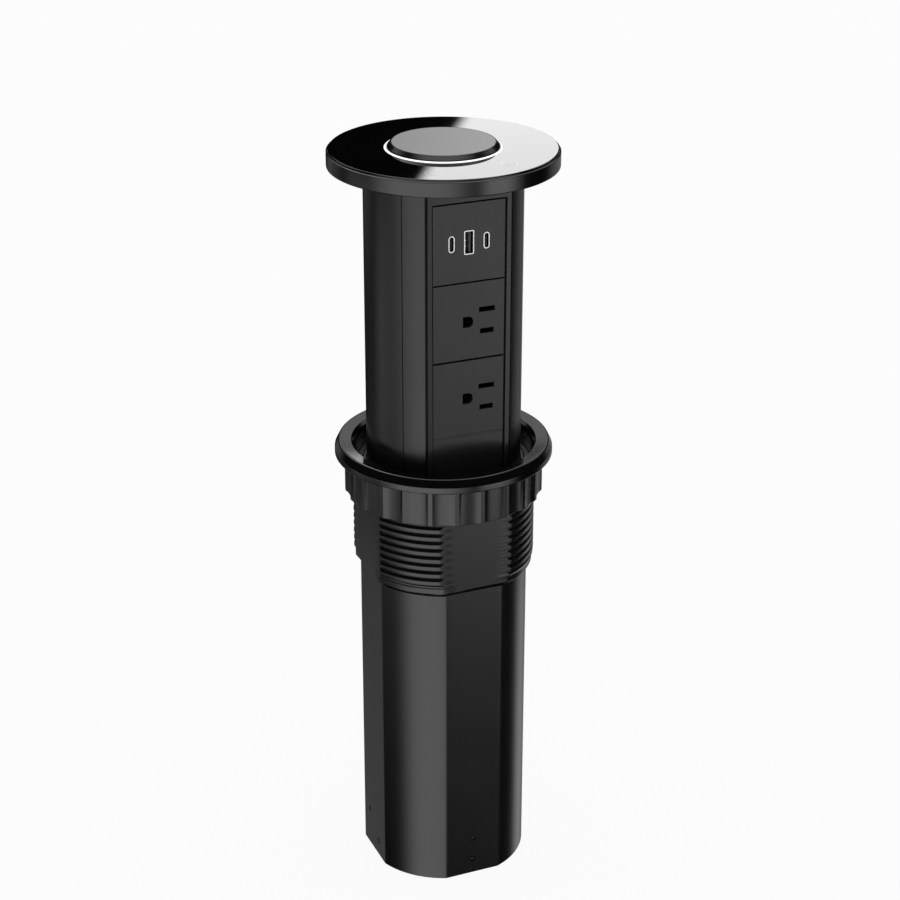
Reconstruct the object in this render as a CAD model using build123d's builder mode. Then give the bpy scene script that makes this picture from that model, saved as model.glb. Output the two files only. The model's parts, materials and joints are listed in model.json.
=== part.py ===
from build123d import *
import os
from math import cos, degrees, radians, sin, sqrt

os.makedirs("parts", exist_ok=True)

# A motorised desk socket: a round column with a charging head rises out of a tube that is
# clamped through the desk by a threaded collar and a scalloped lock nut.
# Lengths are millimetres. Z is up, the tube stands on Z = 0 and the sockets face -Y.

# Fits shared by all pieces
fit_gap = 0.05
run_gap = 0.3
overrun = 1.0

# The lift: how far the head rises, and what it keeps clear at both ends
lift_travel = 163.5
head_rest_gap = 0.5
foot_stop_gap = 0.5
foot_rest_gap = 4.5

# Lower tube, a round extrusion with four flats; its bore follows the column
tube_side_gap = 0.4
tube_channel_depth = 2.0
tube_wall = 2.0
tube_flat_wall = 0.9

# Threaded collar over the top of the tube
collar_drop = 16.0
collar_foot_height = 7.6
collar_wall = 2.6
collar_flat_wall = 2.3
collar_cone_height = 2.6
thread_depth = 1.4
thread_pitch = 4.7
thread_top_gap = 1.7
thread_crest_width = 1.9
thread_root_width = 3.9
thread_turns = 12
bush_height = 4.5
bush_wall = 1.1

# Desk flange with its sunken dish round the column
dish_width = 5.4
dish_wall = 2.2
dish_flare = 2.6
flange_ring_width = 8.6
flange_edge_width = 1.9
flange_edge_height = 3.6
flange_edge_drop = 4.6
dish_lip_round = 2.0
dish_floor_height = 2.0
wiper_height = 1.5
wiper_lip_height = 0.6
gasket_width = 4.3
gasket_height = 1.1
flange_screw_radius = 1.25
flange_screw_head_radius = 2.1
flange_screw_head_height = 1.2
flange_screw_length = 4.0
flange_screw_offset = 3.6

# Lock nut and its washer
nut_wall = 4.3
nut_flute_depth = 1.1
nut_height = 21.6
nut_band_height = 2.6
nut_flutes = 24
nut_ridge_width = 2.4
nut_bevel = 0.5
nut_top_gap = 0.3
washer_inset = 2.0
washer_height = 1.0

# Column shell, a round extrusion with a flat front channel
column_radius = 45.0
column_wall = 2.2
channel_half_width = 26.0
channel_lip_width = 5.2
channel_lip_thickness = 2.2
seam_angle = 52.8
seam_width = 0.6
seam_depth = 0.5
boss_radius = 3.4
boss_inset = 5.2
boss_bore_radius = 1.3
boss_bore_depth = 12.0
boss_angles = (50.0, 130.0, 214.0, 326.0)
neck_height = 1.3
neck_inset = 0.8

# Front frame and the socket modules behind it
frame_thickness = 2.0
frame_side_gap = 1.05
frame_strip_width = 2.8
frame_bottom_bar = 9.0
window_top_drop = 11.1
module_top_drop = 11.4
module_pitch = 45.8
module_gap = 0.7
module_recess = 1.0
body_side_gap = 6.7
body_end_gap = 1.6
body_wall = 1.8

# Outlets, two flat slots and a D-shaped earth hole, turned a quarter turn
outlet_depth = 25.5
outlet_back_thickness = 1.8
slot_spacing = 12.7
outlet_drop = 23.6
slot_height = 2.6
blade_thickness = 1.5
long_slot_width = 9.4
short_slot_width = 8.1
slot_across = 11.1
earth_across = -0.3
earth_size = 6.0
earth_pocket_depth = 12.0
face_web = 2.6
clip_thickness = 0.5
clip_room = 1.6
clip_depth = 12.0

# Charging ports
usb_body_depth = 20.0
usb_board_thickness = 1.6
usb_a_width = 6.1
usb_a_height = 13.9
usb_a_tongue = 1.8
usb_a_tongue_across = 0.6
usb_a_depth = 14.0
usb_c_width = 3.8
usb_c_height = 9.7
usb_c_tongue = 0.7
usb_c_across = 10.4
usb_c_depth = 8.0
usb_drop = 23.15
port_wall = 0.4

# Head: rim, glass, light ring and charging puck
rim_overhang = 1.5
rim_height = 8.6
rim_wall = 2.3
rim_floor = 2.0
rim_bevel_width = 0.5
rim_bevel_height = 0.6
glass_inset = 1.0
glass_thickness = 2.5
glass_proud = 1.1
glass_side_gap = 0.12
ring_gap = 0.3
ring_wall = 1.1
ring_proud = 0.6
puck_margin = 5.7
puck_lean = 2.3
puck_height = 4.4
puck_side_height = 1.2
puck_wall = 1.6
pad_margin = 0.5
pad_thickness = 0.8
coil_margin = 9.5
coil_band = 13.0
coil_thickness = 2.2
shield_thickness = 0.8
shield_margin = 6.5
charger_board_thickness = 1.6
charger_board_gap = 1.9
touch_board_thickness = 1.2
touch_board_width = 14.0
touch_insets = (13.84, 16.2)
touch_angles = (-118.87, -66.06)
touch_pad_radius = 5.0
touch_post_radius = 3.0
head_screw_radius = 1.25
head_screw_head_radius = 2.6
head_screw_head_height = 1.6
head_screw_length = 9.0

# Column foot, its nut and the lead screw
foot_floor = 3.0
foot_lobe_height = 23.0
foot_lobe_edge = 15.0
screw_inset = 23.0
screw_radius = 4.0
screw_journal_radius = 3.0
screw_collar_radius = 6.5
screw_collar_height = 1.5
screw_above_foot = 18.0
lead_nut_radius = 6.0
lead_nut_flange_radius = 11.0
lead_nut_flange_height = 3.5
lead_nut_height = 16.0
lead_nut_screw_radius = 1.25
lead_nut_screw_circle = 8.4
lead_nut_screws = 3

# Drive housing in the foot of the tube
cup_wall = 4.0
motor_foot_gap = 9.5
plate_thickness = 3.0
plate_screw_inset = 4.2
plate_screw_radius = 1.5
plate_screw_head_radius = 2.4
plate_screw_head_height = 1.2
plate_screw_length = 9.0
bearing_radius = 8.0
bearing_height = 2.5
motor_radius = 15.0
motor_height = 20.0
motor_shaft_radius = 2.5
gearbox_radius = 16.0
gearbox_height = 11.0
gearbox_drop = 9.5
gearbox_rim_height = 1.6
coupler_radius = 6.5
coupler_height = 7.0
coupler_gap = 1.2
standoff_radius = 2.6
standoff_inset = 3.4
standoff_screw_radius = 1.25
standoff_screw_length = 7.0
rail_width = 1.8
rail_depth = 4.0

# Base cover, cord gland and the tube's screws
cover_inset = 4.0
cover_thickness = 3.0
cover_ledge = 2.0
cover_screw_inset = 1.5
gland_radius = 8.0
gland_bore_radius = 4.0
gland_flat = 10.0
gland_hex_height = 3.0
gland_thread_height = 10.0
gland_nut_height = 3.5
gland_across = -14.0
side_screw_radius = 1.55
side_screw_depth = 3.4
side_screw_recess = 0.3
side_screw_slot = 0.5
side_screw_high = 25.0
side_screw_low = 10.0
side_screw_back = 8.6
side_screw_front = 6.1

# Electronics in the drive housing and the lead up to the column
board_thickness = 1.6
board_side_gap = 8.4
board_foot_gap = 8.0
board_top_gap = 4.0
board_across = -6.0
supply_side_gap = 7.0
supply_depth = 15.0
supply_height = 24.0
relay_width = 15.0
relay_depth = 12.0
relay_height = 18.0
part_gap = 4.0
lead_radius = 6.0
lead_side_gap = 7.7
lead_y = 7.0
lead_hole_radius = 3.0
harness_radius = 2.4
harness_branch_radius = 1.2
sensor_width = 8.0
sensor_depth = 5.0
sensor_height = 3.0
sensor_y = 7.0
magnet_radius = 3.0
magnet_height = 2.0

# Radii worked out from the sizes above, from the column outward
tube_bore_flat = column_radius + tube_side_gap
tube_bore_radius = tube_bore_flat + tube_channel_depth
tube_flat = tube_bore_flat + tube_flat_wall
tube_radius = tube_bore_radius + tube_wall
collar_flat = tube_flat + collar_flat_wall
collar_root_radius = tube_radius + collar_wall
collar_crest_radius = collar_root_radius + thread_depth
nut_bore_radius = collar_crest_radius + run_gap
nut_radius = nut_bore_radius + nut_wall
washer_radius = nut_radius - washer_inset
dish_radius = column_radius + dish_width
dish_wall_radius = dish_radius + dish_wall
flange_ring_bore = dish_radius + dish_flare
flange_lip_radius = flange_ring_bore + flange_ring_width
flange_radius = flange_lip_radius + flange_edge_width
flange_screw_circle = column_radius + flange_screw_offset
boss_circle = column_radius - boss_inset
rim_radius = flange_radius + rim_overhang
glass_radius = rim_radius - glass_inset
puck_radius = boss_circle - head_screw_head_radius - puck_margin
puck_top_radius = puck_radius - puck_lean
pad_radius = puck_top_radius - pad_margin
ring_outer_radius = puck_radius + ring_gap + ring_wall
coil_radius = puck_radius - coil_margin
coil_bore_radius = coil_radius - coil_band
shield_radius = puck_radius - shield_margin
charger_board_radius = puck_radius - puck_wall - charger_board_gap
cup_bore = tube_bore_flat - cup_wall
plate_screw_circle = tube_bore_radius - plate_screw_inset
cover_screw_circle = cup_bore - cover_screw_inset
standoff_circle = gearbox_radius - standoff_inset

# Places across the column
body_half_width = channel_half_width - body_side_gap
screw_across = column_radius - screw_inset
board_half_width = cup_bore - board_side_gap
supply_width = board_half_width - supply_side_gap
lead_x = -(body_half_width + lead_side_gap)
sensor_x = -lead_x

# Heights worked out from the sizes above, from the base upward
cover_top = cover_inset + cover_thickness
motor_bottom = cover_top + motor_foot_gap
gearbox_bottom = motor_bottom + motor_height
gearbox_top = gearbox_bottom + gearbox_height
cup_top = gearbox_top + gearbox_drop
plate_top = cup_top + plate_thickness
board_bottom = cover_top + board_foot_gap
board_height = cup_top - board_bottom - board_top_gap
foot_bottom = plate_top + foot_rest_gap + lift_travel
column_bottom = foot_bottom + foot_floor
bush_seat = column_bottom + foot_lobe_height + foot_stop_gap
tube_height = bush_seat - 2 * fit_gap
collar_top = bush_seat + bush_height
collar_bottom = collar_top - thread_turns * thread_pitch - collar_foot_height
lip_height = collar_top + collar_drop
column_top = lip_height + lift_travel + head_rest_gap
column_height = column_top - column_bottom
frame_half_width = channel_half_width - frame_side_gap
window_half_width = frame_half_width - frame_strip_width
module_half_width = window_half_width - module_gap
frame_front = sqrt(column_radius**2 - frame_half_width**2)
frame_back = frame_front - frame_thickness
module_face = frame_front - module_recess
window_top = column_top - window_top_drop
module_top = column_top - module_top_drop
outlet_tops = (module_top - module_pitch, module_top - 2 * module_pitch)
filler_top = module_top - 3 * module_pitch
dish_floor_top = collar_top + dish_floor_height
flange_under = lip_height - flange_edge_drop - flange_edge_height
gasket_bottom = flange_under - gasket_height
nut_top = gasket_bottom - nut_top_gap
rim_top = column_top + rim_height
glass_top = rim_top + glass_proud
glass_bottom = glass_top - glass_thickness
rim_floor_top = column_top + rim_floor
puck_top = glass_top + puck_height - puck_side_height
screw_top = column_bottom + screw_above_foot


def squared_circle(radius, flat, mode=Mode.ADD):
    """Add a circle cut by four flats to the sketch that is being drawn."""
    with BuildSketch(mode=Mode.PRIVATE) as outline:
        Circle(radius)
        Rectangle(2 * flat, 2 * flat, mode=Mode.INTERSECT)
    add(outline.sketch, mode=mode)


def ring_disc(radius, bore, bottom, height):
    """Extrude a flat ring from the bottom height, in the part that is being built."""
    with BuildSketch(Plane.XY.offset(bottom)) as outline:
        Circle(radius)
        if bore > 0:
            Circle(bore, mode=Mode.SUBTRACT)
    extrude(outline.sketch, amount=height)


def round_cut(radius, bottom, height, places):
    """Cut upright round holes at the places in the part that is being built."""
    with BuildSketch(Plane.XY.offset(bottom)) as outline:
        with Locations(*places):
            Circle(radius)
    extrude(outline.sketch, amount=height, mode=Mode.SUBTRACT)


def on_circle(radius, angles, centre=(0, 0)):
    """Places on a circle at the angles, in degrees from +X."""
    across, along = centre
    return [(across + radius * cos(radians(a)), along + radius * sin(radians(a))) for a in angles]


def pan_screws(head_radius, head_height, radius, length, seat, places, up=True):
    """Screws with flat round heads on the seat height, their shanks running away from it."""
    way = 1 if up else -1
    with BuildSketch(Plane.XY.offset(seat)) as heads:
        with Locations(*places):
            Circle(head_radius)
    extrude(heads.sketch, amount=way * head_height)
    with BuildSketch(Plane.XY.offset(seat)) as shanks:
        with Locations(*places):
            Circle(radius)
    extrude(shanks.sketch, amount=-way * length)


def finish(part, name):
    """Label the part and write it to its own file."""
    part.part.label = name
    export_step(part.part, f"parts/{name}.step")


# Side screws: two on each flat, as (angle of the flat, place along the flat, height)
front_angle, right_angle, back_angle, left_angle = -90.0, 0.0, 90.0, 180.0
side_screws = [(a, 0, h) for a in (front_angle, back_angle) for h in (side_screw_high, side_screw_low)]
side_screws += [
    (left_angle, -side_screw_back, side_screw_high),
    (left_angle, side_screw_front, side_screw_low),
    (right_angle, side_screw_back, side_screw_high),
    (right_angle, -side_screw_front, side_screw_low),
]


def side_plane(angle, along, height, distance):
    """A plane on a flat of the tube, its Z pointing outward."""
    turn = radians(angle)
    out = Vector(cos(turn), sin(turn), 0)
    across = Vector(-sin(turn), cos(turn), 0)
    return Plane(origin=out * distance + across * along + Vector(0, 0, height), z_dir=out)


# Lower tube
with BuildPart() as lower_tube:
    with BuildSketch():
        squared_circle(tube_radius, tube_flat)
        squared_circle(tube_bore_radius, tube_bore_flat, Mode.SUBTRACT)
    extrude(amount=tube_height)
    for angle, along, height in side_screws:
        with BuildSketch(side_plane(angle, along, height, tube_flat + overrun)):
            Circle(side_screw_radius + fit_gap)
        extrude(amount=-(tube_flat - tube_bore_flat + 2 * overrun), mode=Mode.SUBTRACT)
finish(lower_tube, "lower_tube")

# Interrupted thread: ridges round the collar, cut back to its four flats
bush_radius = column_radius + run_gap + bush_wall
first_ridge = collar_top - thread_top_gap - thread_crest_width / 2
ridge_foot = collar_root_radius - overrun
with BuildPart() as thread_ridges:
    for turn in range(thread_turns):
        middle = first_ridge - turn * thread_pitch
        with BuildSketch(Plane.XZ):
            with BuildLine():
                Polyline(
                    (ridge_foot, middle - thread_root_width / 2),
                    (collar_root_radius, middle - thread_root_width / 2),
                    (collar_crest_radius, middle - thread_crest_width / 2),
                    (collar_crest_radius, middle + thread_crest_width / 2),
                    (collar_root_radius, middle + thread_root_width / 2),
                    (ridge_foot, middle + thread_root_width / 2),
                    close=True,
                )
            make_face()
        revolve(axis=Axis.Z)
    with BuildSketch(Plane.XY.offset(collar_bottom)):
        Rectangle(2 * collar_flat, 2 * collar_flat)
    extrude(amount=collar_top - collar_bottom, mode=Mode.INTERSECT)

# Threaded collar: a flatted sleeve whose four arcs carry the thread
with BuildPart() as threaded_collar:
    with BuildSketch(Plane.XY.offset(collar_bottom)):
        squared_circle(collar_root_radius, collar_flat)
    extrude(amount=collar_top - collar_bottom)
    add(thread_ridges.part)
    with BuildSketch(Plane.XZ):
        cone_run = collar_root_radius - tube_radius
        with BuildLine():
            Polyline(
                (collar_root_radius - cone_run, collar_bottom),
                (collar_root_radius + overrun, collar_bottom),
                (collar_root_radius + overrun, collar_bottom + collar_cone_height + overrun),
                close=True,
            )
        make_face()
    revolve(axis=Axis.Z, mode=Mode.SUBTRACT)
    with BuildSketch(Plane.XY.offset(collar_bottom)):
        squared_circle(tube_radius + fit_gap, tube_flat + fit_gap)
    extrude(amount=bush_seat - collar_bottom, mode=Mode.SUBTRACT)
    round_cut(bush_radius + fit_gap, bush_seat, bush_height, [(0, 0)])
    flange_screw_angles = (45.0, 135.0, 225.0, 315.0)
    flange_screw_places = on_circle(flange_screw_circle, flange_screw_angles)
    round_cut(flange_screw_radius, collar_top, -(flange_screw_length + fit_gap), flange_screw_places)
finish(threaded_collar, "threaded_collar")

# Guide bush that centres the column in the collar
with BuildPart() as guide_bush:
    ring_disc(bush_radius, column_radius + run_gap, bush_seat, bush_height)
finish(guide_bush, "guide_bush")

# Desk flange: ring, sloping edge, sunken dish
with BuildPart() as desk_flange:
    with BuildSketch(Plane.XZ):
        with BuildLine():
            edge_foot = lip_height - flange_edge_drop
            round_foot = (flange_ring_bore - dish_lip_round, lip_height - dish_lip_round)
            Polyline(
                (flange_ring_bore, lip_height),
                (flange_lip_radius, lip_height),
                (flange_radius, edge_foot),
                (flange_radius, flange_under),
                (dish_wall_radius, flange_under),
                (dish_wall_radius, collar_top),
                (column_radius + 2 * run_gap, collar_top),
                (column_radius + 2 * run_gap, dish_floor_top),
                (dish_radius, dish_floor_top),
                round_foot,
            )
            RadiusArc(round_foot, (flange_ring_bore, lip_height), dish_lip_round)
        make_face()
    revolve(axis=Axis.Z)
    round_cut(
        flange_screw_head_radius + fit_gap,
        dish_floor_top,
        -(flange_screw_head_height + fit_gap),
        flange_screw_places,
    )
    round_cut(flange_screw_radius + fit_gap, dish_floor_top, -dish_floor_height, flange_screw_places)
finish(desk_flange, "desk_flange")

with BuildPart() as flange_screws:
    pan_screws(
        flange_screw_head_radius,
        flange_screw_head_height,
        flange_screw_radius,
        flange_screw_length + dish_floor_height - flange_screw_head_height,
        dish_floor_top - flange_screw_head_height,
        flange_screw_places,
    )
finish(flange_screws, "flange_screws")

# Wiper ring: a flat seat with a thin lip that leans to the column
with BuildPart() as wiper_ring:
    with BuildSketch(Plane.XZ):
        wiper_bore = column_radius + run_gap
        wiper_top = dish_floor_top + wiper_height
        with BuildLine():
            Polyline(
                (wiper_bore + wiper_lip_height, dish_floor_top),
                (dish_radius - fit_gap, dish_floor_top),
                (dish_radius - fit_gap, wiper_top - wiper_lip_height),
                (dish_radius - fit_gap - wiper_lip_height, wiper_top),
                (wiper_bore, wiper_top),
                (wiper_bore, wiper_top - wiper_lip_height),
                close=True,
            )
        make_face()
    revolve(axis=Axis.Z)
finish(wiper_ring, "wiper_ring")

with BuildPart() as desk_gasket:
    ring_disc(nut_bore_radius + gasket_width, nut_bore_radius, gasket_bottom, gasket_height)
finish(desk_gasket, "desk_gasket")

# Lock nut: a ring with shallow scallops between narrow ridges
with BuildPart() as lock_nut:
    nut_bottom = nut_top - nut_height
    with BuildSketch(Plane.XZ):
        with BuildLine():
            Polyline(
                (nut_bore_radius, nut_bottom),
                (nut_radius, nut_bottom),
                (nut_radius, nut_top - nut_bevel),
                (nut_radius - nut_bevel, nut_top),
                (nut_bore_radius, nut_top),
                close=True,
            )
        make_face()
    revolve(axis=Axis.Z)
    ridge_angle = degrees(nut_ridge_width / nut_radius)
    flute_half_angle = radians(360 / nut_flutes - ridge_angle) / 2
    flute_half_width = nut_radius * sin(flute_half_angle)
    flute_mouth = nut_radius * cos(flute_half_angle)
    flute_floor = nut_radius - nut_flute_depth
    flute_bow = flute_mouth - flute_floor
    flute_radius = (flute_half_width**2 + flute_bow**2) / (2 * flute_bow)
    with BuildSketch(Plane.XY.offset(nut_bottom)):
        with PolarLocations(flute_floor + flute_radius, nut_flutes, start_angle=180 / nut_flutes):
            Circle(flute_radius)
    extrude(amount=nut_height - nut_band_height, mode=Mode.SUBTRACT)
    ring_cut = washer_radius + run_gap / 2
    with BuildSketch(Plane.XY.offset(nut_top)):
        Circle(ring_cut)
    extrude(amount=-(washer_height + fit_gap), mode=Mode.SUBTRACT)
finish(lock_nut, "lock_nut")

with BuildPart() as clamp_washer:
    washer_bottom = nut_top - washer_height
    ring_disc(washer_radius, nut_bore_radius + fit_gap, washer_bottom, washer_height)
finish(clamp_washer, "clamp_washer")

# Drive housing: a cup that fills the foot of the tube
cup_radius = tube_bore_radius - fit_gap
cup_flat = tube_bore_flat - fit_gap
cover_radius = cup_bore + cover_ledge
cover_screw_places = on_circle(cover_screw_circle, (45.0, 135.0, 225.0, 315.0))
plate_screw_places = on_circle(plate_screw_circle, (40.0, 140.0, 220.0, 320.0))
with BuildPart() as drive_housing:
    with BuildSketch():
        squared_circle(cup_radius, cup_flat)
        Circle(cup_bore, mode=Mode.SUBTRACT)
    extrude(amount=cup_top)
    round_cut(cover_radius + fit_gap, 0, cover_top + fit_gap, [(0, 0)])
    # slotted rails that hold the two edges of the control board
    rail_plane = Plane.XY.offset(board_bottom)
    for side in (-1, 1):
        with BuildSketch(rail_plane):
            with Locations((side * board_half_width, board_across)):
                Rectangle(2 * cup_wall + 2 * rail_depth, board_thickness + 2 * rail_width)
            Circle(cup_bore + overrun, mode=Mode.INTERSECT)
            with Locations((0, board_across)):
                Rectangle(
                    2 * (board_half_width + fit_gap),
                    board_thickness + 2 * fit_gap,
                    mode=Mode.SUBTRACT,
                )
        extrude(amount=board_height)
    round_cut(plate_screw_radius, cup_top, -plate_screw_length, plate_screw_places)
    for angle, along, height in side_screws:
        with BuildSketch(side_plane(angle, along, height, tube_bore_flat)):
            Circle(side_screw_radius + fit_gap)
        extrude(amount=-side_screw_depth, mode=Mode.SUBTRACT)
    with BuildSketch(Plane.XY.offset(cover_top)):
        with Locations(*cover_screw_places):
            Circle(2 * flange_screw_radius)
        Circle(cup_bore + overrun, mode=Mode.INTERSECT)
    extrude(amount=board_bottom - cover_top)
    round_cut(flange_screw_radius, cover_top, flange_screw_length, cover_screw_places)
finish(drive_housing, "drive_housing")

# Screws through the tube's flats into the drive housing
with BuildPart() as side_screw_set:
    for angle, along, height in side_screws:
        seat = tube_flat - side_screw_recess
        with BuildSketch(side_plane(angle, along, height, seat)):
            Circle(side_screw_radius)
        extrude(amount=-(side_screw_depth + seat - tube_bore_flat - fit_gap))
        with BuildSketch(side_plane(angle, along, height, seat)):
            Rectangle(side_screw_radius, side_screw_slot)
        extrude(amount=-side_screw_slot, mode=Mode.SUBTRACT)
finish(side_screw_set, "tube_screws")

# Base cover with the cord gland
with BuildPart() as base_cover:
    ring_disc(cover_radius, 0, cover_inset, cover_thickness)
    round_cut(gland_radius + fit_gap, cover_inset, cover_thickness, [(0, gland_across)])
    round_cut(flange_screw_radius + fit_gap, cover_inset, cover_thickness, cover_screw_places)
finish(base_cover, "base_cover")

with BuildPart() as cover_screws:
    pan_screws(
        flange_screw_head_radius,
        flange_screw_head_height,
        flange_screw_radius,
        cover_thickness + flange_screw_length - fit_gap,
        cover_inset,
        cover_screw_places,
        up=False,
    )
finish(cover_screws, "cover_screws")

with BuildPart() as cord_gland:
    with BuildSketch(Plane.XY.offset(cover_inset)):
        with Locations((0, gland_across)):
            RegularPolygon(gland_flat, 6, major_radius=False)
    extrude(amount=-gland_hex_height)
    with BuildSketch(Plane.XY.offset(cover_inset)):
        with Locations((0, gland_across)):
            Circle(gland_radius)
    extrude(amount=gland_thread_height)
    gland_bottom = cover_inset - gland_hex_height
    gland_length = gland_hex_height + gland_thread_height
    round_cut(gland_bore_radius, gland_bottom, gland_length, [(0, gland_across)])
finish(cord_gland, "cord_gland")

with BuildPart() as gland_nut:
    with BuildSketch(Plane.XY.offset(cover_top)):
        with Locations((0, gland_across)):
            RegularPolygon(gland_flat, 6, major_radius=False)
            Circle(gland_radius + fit_gap, mode=Mode.SUBTRACT)
    extrude(amount=gland_nut_height)
finish(gland_nut, "gland_nut")

# Bearing plate that closes the drive housing and carries the gearbox and the screw's bearing
standoff_places = on_circle(standoff_circle, (45.0, 135.0, 225.0, 315.0), (0, screw_across))
bearing_bottom = plate_top - bearing_height
with BuildPart() as bearing_plate:
    with BuildSketch(Plane.XY.offset(cup_top)):
        squared_circle(cup_radius, cup_flat)
    extrude(amount=plate_thickness)
    round_cut(bearing_radius + fit_gap, bearing_bottom, bearing_height, [(0, screw_across)])
    round_cut(screw_collar_radius, cup_top, plate_thickness, [(0, screw_across)])
    round_cut(plate_screw_radius + fit_gap, cup_top, plate_thickness, plate_screw_places)
    round_cut(standoff_screw_radius + fit_gap, cup_top, plate_thickness, standoff_places)
    round_cut(lead_hole_radius, cup_top, plate_thickness, [(lead_x, lead_y)])
finish(bearing_plate, "bearing_plate")

with BuildPart() as plate_screws:
    pan_screws(
        plate_screw_head_radius,
        plate_screw_head_height,
        plate_screw_radius,
        plate_screw_length + plate_thickness - fit_gap,
        plate_top,
        plate_screw_places,
    )
finish(plate_screws, "plate_screws")

with BuildPart() as screw_bearing:
    with BuildSketch(Plane.XY.offset(bearing_bottom)):
        with Locations((0, screw_across)):
            Circle(bearing_radius)
            Circle(screw_journal_radius + fit_gap, mode=Mode.SUBTRACT)
    extrude(amount=bearing_height)
finish(screw_bearing, "screw_bearing")

# Gearbox on its standoffs under the plate, with the motor below it
with BuildPart() as gearbox:
    with BuildSketch(Plane.XY.offset(gearbox_bottom)):
        with Locations((0, screw_across)):
            Circle(gearbox_radius)
    extrude(amount=gearbox_height)
    with BuildSketch(Plane.XY.offset(gearbox_bottom)):
        with Locations((0, screw_across)):
            Circle(gearbox_radius)
            Circle(gearbox_radius - rail_width / 2, mode=Mode.SUBTRACT)
    extrude(amount=gearbox_height - gearbox_rim_height, mode=Mode.SUBTRACT)
    round_cut(motor_shaft_radius + run_gap, gearbox_bottom, gearbox_height, [(0, screw_across)])
    round_cut(standoff_screw_radius, gearbox_top, -gearbox_rim_height, standoff_places)
finish(gearbox, "gearbox")

with BuildPart() as motor_standoffs:
    with BuildSketch(Plane.XY.offset(gearbox_top)):
        with Locations(*standoff_places):
            Circle(standoff_radius)
    extrude(amount=gearbox_drop)
    with BuildSketch(Plane.XY.offset(gearbox_top)):
        with Locations(*standoff_places):
            Circle(standoff_screw_radius)
    extrude(amount=-gearbox_rim_height)
    round_cut(standoff_screw_radius, cup_top, -standoff_screw_length, standoff_places)
finish(motor_standoffs, "motor_standoffs")

with BuildPart() as standoff_screws:
    pan_screws(
        flange_screw_head_radius,
        flange_screw_head_height,
        standoff_screw_radius,
        plate_thickness + standoff_screw_length - fit_gap,
        plate_top,
        standoff_places,
    )
finish(standoff_screws, "standoff_screws")

with BuildPart() as drive_motor:
    with BuildSketch(Plane.XY.offset(motor_bottom)):
        with Locations((0, screw_across)):
            Circle(motor_radius)
    extrude(amount=motor_height)
    fillet(drive_motor.edges().group_by(Axis.Z)[0], radius=rail_width)
    with BuildSketch(Plane.XY.offset(motor_bottom)):
        with Locations((0, screw_across)):
            Circle(screw_collar_radius)
    extrude(amount=-gearbox_rim_height)
finish(drive_motor, "drive_motor")

# Shaft, coupler and lead screw turn together
coupler_bottom = gearbox_top + coupler_gap
shaft_middle = coupler_bottom + coupler_height / 2
with BuildPart() as output_shaft:
    with BuildSketch(Plane.XY.offset(gearbox_bottom + fit_gap)):
        with Locations((0, screw_across)):
            Circle(motor_shaft_radius)
    extrude(amount=shaft_middle - gearbox_bottom - 2 * fit_gap)
finish(output_shaft, "output_shaft")

with BuildPart() as shaft_coupler:
    with BuildSketch(Plane.XY.offset(coupler_bottom)):
        with Locations((0, screw_across)):
            Circle(coupler_radius)
    extrude(amount=coupler_height)
    round_cut(motor_shaft_radius, coupler_bottom, coupler_height / 2, [(0, screw_across)])
    round_cut(screw_journal_radius, shaft_middle, coupler_height / 2, [(0, screw_across)])
finish(shaft_coupler, "shaft_coupler")

with BuildPart() as lead_screw:
    with BuildSketch(Plane.XY.offset(shaft_middle)):
        with Locations((0, screw_across)):
            Circle(screw_journal_radius)
    extrude(amount=plate_top - shaft_middle)
    with BuildSketch(Plane.XY.offset(plate_top + fit_gap)):
        with Locations((0, screw_across)):
            Circle(screw_collar_radius)
    extrude(amount=screw_collar_height)
    with BuildSketch(Plane.XY.offset(plate_top)):
        with Locations((0, screw_across)):
            Circle(screw_journal_radius)
    extrude(amount=screw_collar_height)
    with BuildSketch(Plane.XY.offset(plate_top + screw_collar_height)):
        with Locations((0, screw_across)):
            Circle(screw_radius)
    extrude(amount=screw_top - plate_top - screw_collar_height)
    chamfer(lead_screw.edges().group_by(Axis.Z)[-1], length=(screw_radius - screw_journal_radius) / 2)
finish(lead_screw, "lead_screw")

# Control board with its power supply and relay
with BuildPart() as control_board:
    with BuildSketch(Plane.XY.offset(board_bottom)):
        with Locations((0, board_across)):
            Rectangle(2 * board_half_width, board_thickness)
    extrude(amount=board_height)
finish(control_board, "control_board")

board_face = board_across - board_thickness / 2
with BuildPart() as power_supply:
    with BuildSketch(Plane.XY.offset(board_bottom + board_height - part_gap / 2 - supply_height)):
        with Locations((part_gap / 2 - supply_width / 2, board_face - supply_depth / 2)):
            Rectangle(supply_width, supply_depth)
    extrude(amount=supply_height)
    chamfer(power_supply.edges().filter_by(Axis.Z).group_by(Axis.Y)[0], length=part_gap / 4)
finish(power_supply, "power_supply")

with BuildPart() as lift_relay:
    with BuildSketch(Plane.XY.offset(board_bottom + board_height - part_gap / 2 - relay_height)):
        with Locations((part_gap + part_gap / 2 + relay_width / 2, board_face - relay_depth / 2)):
            Rectangle(relay_width, relay_depth)
    extrude(amount=relay_height)
finish(lift_relay, "lift_relay")

# Coiled supply lead, kept plain: the fat tube that its curls fill
with BuildPart() as supply_lead:
    with BuildSketch(Plane.XY.offset(plate_top + fit_gap)):
        with Locations((lead_x, lead_y)):
            Circle(lead_radius)
    extrude(amount=foot_bottom - plate_top - 2 * fit_gap)
finish(supply_lead, "supply_lead")

# Home sensor on the plate and the magnet in the column's foot
with BuildPart() as home_sensor:
    with BuildSketch(Plane.XY.offset(plate_top)):
        with Locations((sensor_x, sensor_y)):
            Rectangle(sensor_width, sensor_depth)
    extrude(amount=sensor_height)
finish(home_sensor, "home_sensor")

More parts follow.
